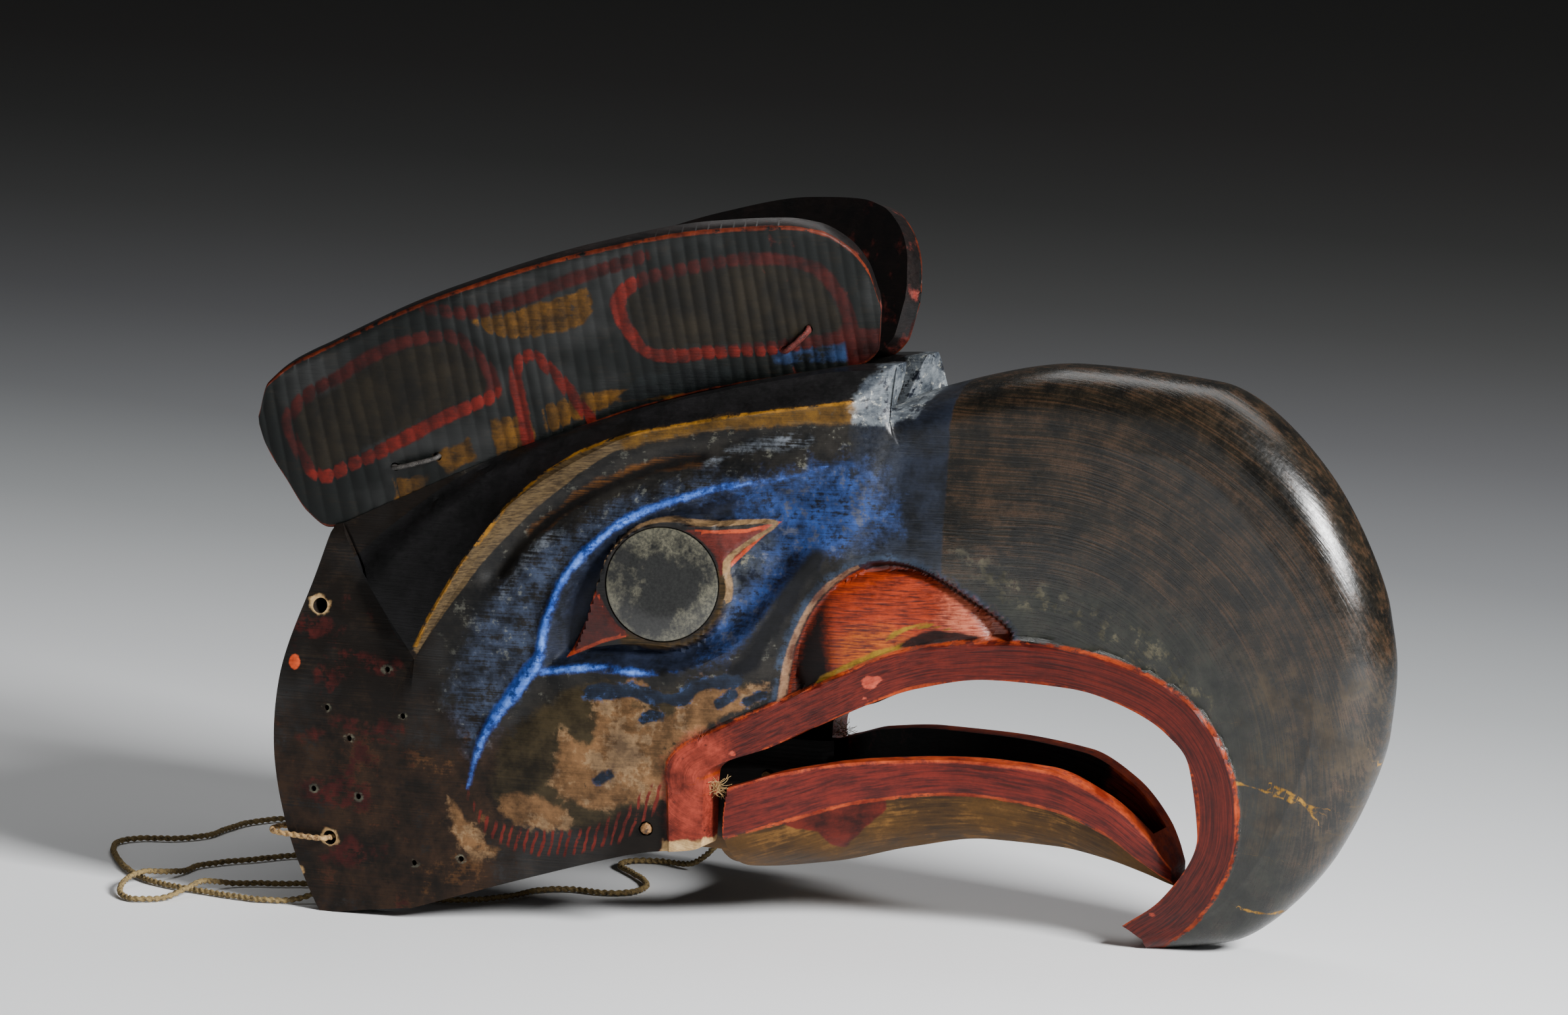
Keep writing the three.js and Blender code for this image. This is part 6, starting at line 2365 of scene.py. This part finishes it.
@dataclass
class RimThong:
    """A thong looped through the rim's hole, where the harness cord ties on.

    Attributes:
        side: The side of the mask.
        radius: Radius over both of its strips.
        pitch: Length of one turn of its twist.
        route: Listed points of its middle line, Y outwards.
    """

    side: Side
    radius: float = 1.6
    pitch: float = 9.0
    route: tuple[tuple[float, float, float], ...] = (
        (-250, 84, 38), (-250, 92, 39), (-250, 103, 39), (-251.5, 109, 39),
        (-258, 110.5, 39.3), (-268, 110, 39.6), (-280, 108.5, 40), (-285, 104, 40),
        (-285.5, 96, 40), (-281, 88.5, 39.5), (-272, 86.5, 39))

    def build(self, hide: Material) -> Object:
        """Makes the thong as two twisted strips of hide.

        Args:
            hide: Its material.

        Returns:
            The thong's object.
        """
        path = cord_line([(x, self.side.value * y, z) for x, y, z in self.route], 0.7)

        def twisted(angle: Array, run: Array) -> Array:
            """Radius of two strips laid round each other."""
            turned = angle - 2 * math.pi * run / self.pitch
            return self.radius * np.sqrt(0.4 + 0.6 * np.cos(turned) ** 2)

        item = tube(f"rim_thong_strip_{self.side.word}", path, twisted, 14)
        item.data.materials.append(hide)
        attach(item, "head")
        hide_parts(f"rim_thong_{self.side.word}")
        return item


@dataclass
class Tuft:
    """Loose fibres caught where the jaw's lip meets the head's.

    Attributes:
        side: The side of the mask.
        place: Middle of the patch that they stand on, Y outwards.
        patch: Half the patch's width.
        count: How many fibres.
        long: Length of the longest fibre.
        thick: A fibre's radius.
    """

    side: Side
    place: tuple[float, float, float] = (-43.0, 78.5, 78.0)
    patch: float = 2.6
    count: int = 70
    long: float = 8.0
    thick: float = 0.16

    def tree(self, finish: Material) -> NodeTree:
        """Nodes that stand bent fibres on a small patch.

        Args:
            finish: The fibres' material.

        Returns:
            The node tree, with an input for each of the tuft's sizes.
        """
        tree = bpy.data.node_groups.new(f"tuft_fibres_{self.side.word}", "GeometryNodeTree")
        tree.interface.new_socket("Patch", in_out="INPUT", socket_type="NodeSocketGeometry")
        for name, kind, value in (("Fibres", "NodeSocketInt", self.count),
                                  ("Length", "NodeSocketFloat", self.long * MM),
                                  ("Thickness", "NodeSocketFloat", self.thick * MM)):
            socket = tree.interface.new_socket(name, in_out="INPUT", socket_type=kind)
            socket.default_value = value
        tree.interface.new_socket("Fibres made", in_out="OUTPUT",
                                  socket_type="NodeSocketGeometry")
        given = node(tree, "NodeGroupInput").outputs
        bend = node(tree, "GeometryNodeCurveQuadraticBezier", {
            "Resolution": 7, "Start": (0, 0, 0), "Middle": (0.1, 0.0, 0.6),
            "End": (0.55, 0.1, 0.9)})
        ring = node(tree, "GeometryNodeCurvePrimitiveCircle", {"Resolution": 5, "Radius": 1.0})
        thick = node(tree, "ShaderNodeMath", {0: given["Thickness"], 1: given["Length"]},
                     operation="DIVIDE")
        scale = node(tree, "ShaderNodeCombineXYZ", {0: thick, 1: thick, 2: thick})
        section = node(tree, "GeometryNodeTransform", {"Geometry": ring, "Scale": scale})
        fibre = node(tree, "GeometryNodeCurveToMesh", {
            "Curve": bend, "Profile Curve": section, "Fill Caps": True})
        area = (2 * self.patch * MM) ** 2
        density = node(tree, "ShaderNodeMath", {0: given["Fibres"], 1: area}, operation="DIVIDE")
        spots = node(tree, "GeometryNodeDistributePointsOnFaces", {
            "Mesh": given["Patch"], "Density": density, "Seed": 4})
        lean = node(tree, "FunctionNodeRandomValue", {
            0: (-0.9, -0.9, 0.0), 1: (0.9, 0.9, 6.283), 8: 7}, data_type="FLOAT_VECTOR")
        turned = node(tree, "FunctionNodeRotateRotation", {
            "Rotation": spots.outputs["Rotation"], "Rotate By": lean})
        size = node(tree, "FunctionNodeRandomValue", {2: 0.45, 3: 1.0, 8: 11}, data_type="FLOAT")
        long = node(tree, "ShaderNodeMath", {0: size, 1: given["Length"]}, operation="MULTIPLY")
        stood = node(tree, "GeometryNodeInstanceOnPoints", {
            "Points": spots, "Instance": fibre, "Rotation": turned, "Scale": long})
        made = node(tree, "GeometryNodeRealizeInstances", {"Geometry": stood})
        dressed = node(tree, "GeometryNodeSetMaterial", {"Geometry": made, "Material": finish})
        node(tree, "NodeGroupOutput", {0: dressed})
        return tree

    def build(self, finish: Material) -> Object:
        """Makes the tuft as a plain mesh.

        Args:
            finish: The fibres' material.

        Returns:
            The tuft's object.
        """
        x, y, z = self.place
        half = self.patch
        corners = [(x + a, self.side.value * (y + 0.1 * a), z + b)
                   for a, b in ((-half, -half), (half, -half), (half, half), (-half, half))]
        order = (0, 1, 2, 3) if self.side is Side.RIGHT else (3, 2, 1, 0)
        patch = bpy.data.meshes.new("tuft_patch")
        patch.from_pydata([tuple(v * MM for v in corner) for corner in corners], [], [order])
        item = place_object(f"fibre_tuft_{self.side.word}", patch)
        modifier = item.modifiers.new("fibres", "NODES")
        modifier.node_group = self.tree(finish)
        apply(item, modifier)
        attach(item, "head")
        LOG.info("%s: %d faces", item.name, len(item.data.polygons))
        return item


@dataclass
class Studio:
    """Camera, floor and light.

    Attributes:
        azimuth: Degrees that the camera stands round from the mask's right side to its beak.
        elevation: Degrees that it looks down.
        distance: How far it stands from its target.
        target: The point that it looks at.
        lens: Its focal length.
        sensor: Width of its sensor.
        floor_half: Half the floor's width, in metres.
        fade: The floor's painted shade: its colours with their distance behind the mask, in metres.
        lean: How much of that distance also counts along the mask.
        lights: Name, place, width and height in metres and power in watts of each light.
        air: Strength of the dim light from all round.
    """

    azimuth: float = 24.5
    elevation: float = 9.0
    distance: float = 3350.0
    target: tuple[float, float, float] = (-41.0, 0.0, 209.653)
    lens: float = 150.0
    sensor: float = 36.0
    floor_half: float = 9.0
    # Painted shade: the floor's colours darken with distance behind the mask
    fade: tuple[tuple[float, str], ...] = (
        (0.0, "#f5f6f7"), (0.4, "#d6d8da"), (0.9, "#acafb1"), (1.4, "#8a8c8f"), (2.0, "#727376"),
        (2.7, "#5e5f5f"), (3.5, "#4b4c4b"), (4.5, "#413f3e"), (6.0, "#3d3d3b"))
    lean: float = 0.9
    lights: tuple[tuple[str, tuple[float, float, float], tuple[float, float], float], ...] = (
        ("key", (2.5, -0.95, 1.55), (0.7, 0.7), 235.0),
        ("overhead", (0.2, 0.75, 1.9), (2.2, 0.7), 13.0),
        ("front_fill", (-1.2, -3.0, 1.0), (2.0, 1.6), 4.0))
    air: float = 0.055

    def camera(self) -> Object:
        """The camera at the photograph's viewing angle.

        Returns:
            The camera's object.
        """
        around, up = math.radians(self.azimuth), math.radians(self.elevation)
        away = Vector((math.sin(around) * math.cos(up), -math.cos(around) * math.cos(up),
                       math.sin(up)))
        data = bpy.data.cameras.new("camera")
        data.lens = self.lens
        data.sensor_width = self.sensor
        item = place_object("camera", data)
        item.location = Vector(self.target) * MM + away * self.distance * MM
        item.rotation_euler = (-away).to_track_quat("-Z", "Y").to_euler()
        bpy.context.scene.camera = item
        return item

    def floor(self) -> Object:
        """A pale floor of matt studio paper whose colour is painted darker behind the mask, a
        painted shade.

        Returns:
            The floor's object.
        """
        turned = math.radians(self.azimuth)
        c, s = math.cos(turned), math.sin(turned)
        half = self.floor_half
        corners = [(x * c - y * s, x * s + y * c, 0)
                   for x, y in ((-half, -half), (half, -half), (half, half), (-half, half))]
        item = mesh_object("studio_floor", np.array(corners), [(0, 1, 2, 3)], scale=1.0)
        material, tree = bare_material("floor_paper_matt")
        place = node(tree, "ShaderNodeTexCoord").outputs["Object"]
        away = node(tree, "ShaderNodeVectorMath", {
            0: place, 1: (self.lean * c - s, self.lean * s + c, 0.0)}, operation="DOT_PRODUCT")
        # Painted shade: the colour darkens with distance behind the mask, tilted along it, standing
        # in for the light's fall-off
        end = self.fade[-1][0]
        share = node(tree, "ShaderNodeMapRange", {"Value": away, "From Min": 0.0, "From Max": end})
        ramp = node(tree, "ShaderNodeValToRGB", {"Fac": share})
        for at, _ in self.fade[1:-1]:
            ramp.color_ramp.elements.new(at / end)
        for element, (at, code) in zip(ramp.color_ramp.elements, self.fade):
            element.position = at / end
            element.color = colour(code)
        shader = node(tree, "ShaderNodeBsdfPrincipled", {"Base Color": ramp, "Roughness": 0.95})
        node(tree, "ShaderNodeOutputMaterial", {"Surface": shader})
        item.data.materials.append(material)
        return item

    def light(self, name: str, place: Sequence[float], size: Sequence[float],
              power: float) -> Object:
        """A soft rectangular light aimed at the mask.

        Args:
            name: The light's name.
            place: Where it stands, in metres.
            size: Its width and height, in metres.
            power: Its power in watts.

        Returns:
            The light's object.
        """
        data = bpy.data.lights.new(name, "AREA")
        data.shape = "RECTANGLE"
        data.size, data.size_y = size
        data.energy = power
        item = place_object(name, data)
        item.location = place
        aim = Vector((0, 0, 0.15)) - Vector(place)
        item.rotation_euler = aim.to_track_quat("-Z", "Y").to_euler()
        return item

    def build(self) -> None:
        """Sets up floor, lights and a dim surround."""
        self.floor()
        for name, place, size, power in self.lights:
            self.light(name, place, size, power)
        world = bpy.data.worlds.new("studio_air")
        world.use_nodes = True
        inputs = world.node_tree.nodes["Background"].inputs
        inputs["Color"].default_value = (1, 1, 1, 1)
        inputs["Strength"].default_value = self.air
        bpy.context.scene.world = world


def main() -> None:
    """Builds the mask and its studio in order, logging the cords, head, jaw, ears and tufts."""
    logging.basicConfig(level=logging.INFO, format="%(name)s %(message)s")
    studio = Studio()
    studio.camera()
    finishes = Finishes()
    fibre = finishes.cord.build()
    for cord in (HARNESS_CORD, JAW_CORD):
        cord.build(fibre)
    Head().build(finishes)
    Jaw().build(finishes)
    wood = finishes.ear.build()
    glass, peg_wood = SilveredGlass().build(), finishes.peg.build()
    hide, loose = finishes.thong.build(), finishes.tuft.build()
    for side in Side:
        Ear(side).build(finishes, wood)
        Mirror(side).build(glass)
        Peg(side).build(peg_wood)
        RimThong(side).build(hide)
        Tuft(side).build(loose)
    studio.build()


if __name__ == "__main__":
    main()
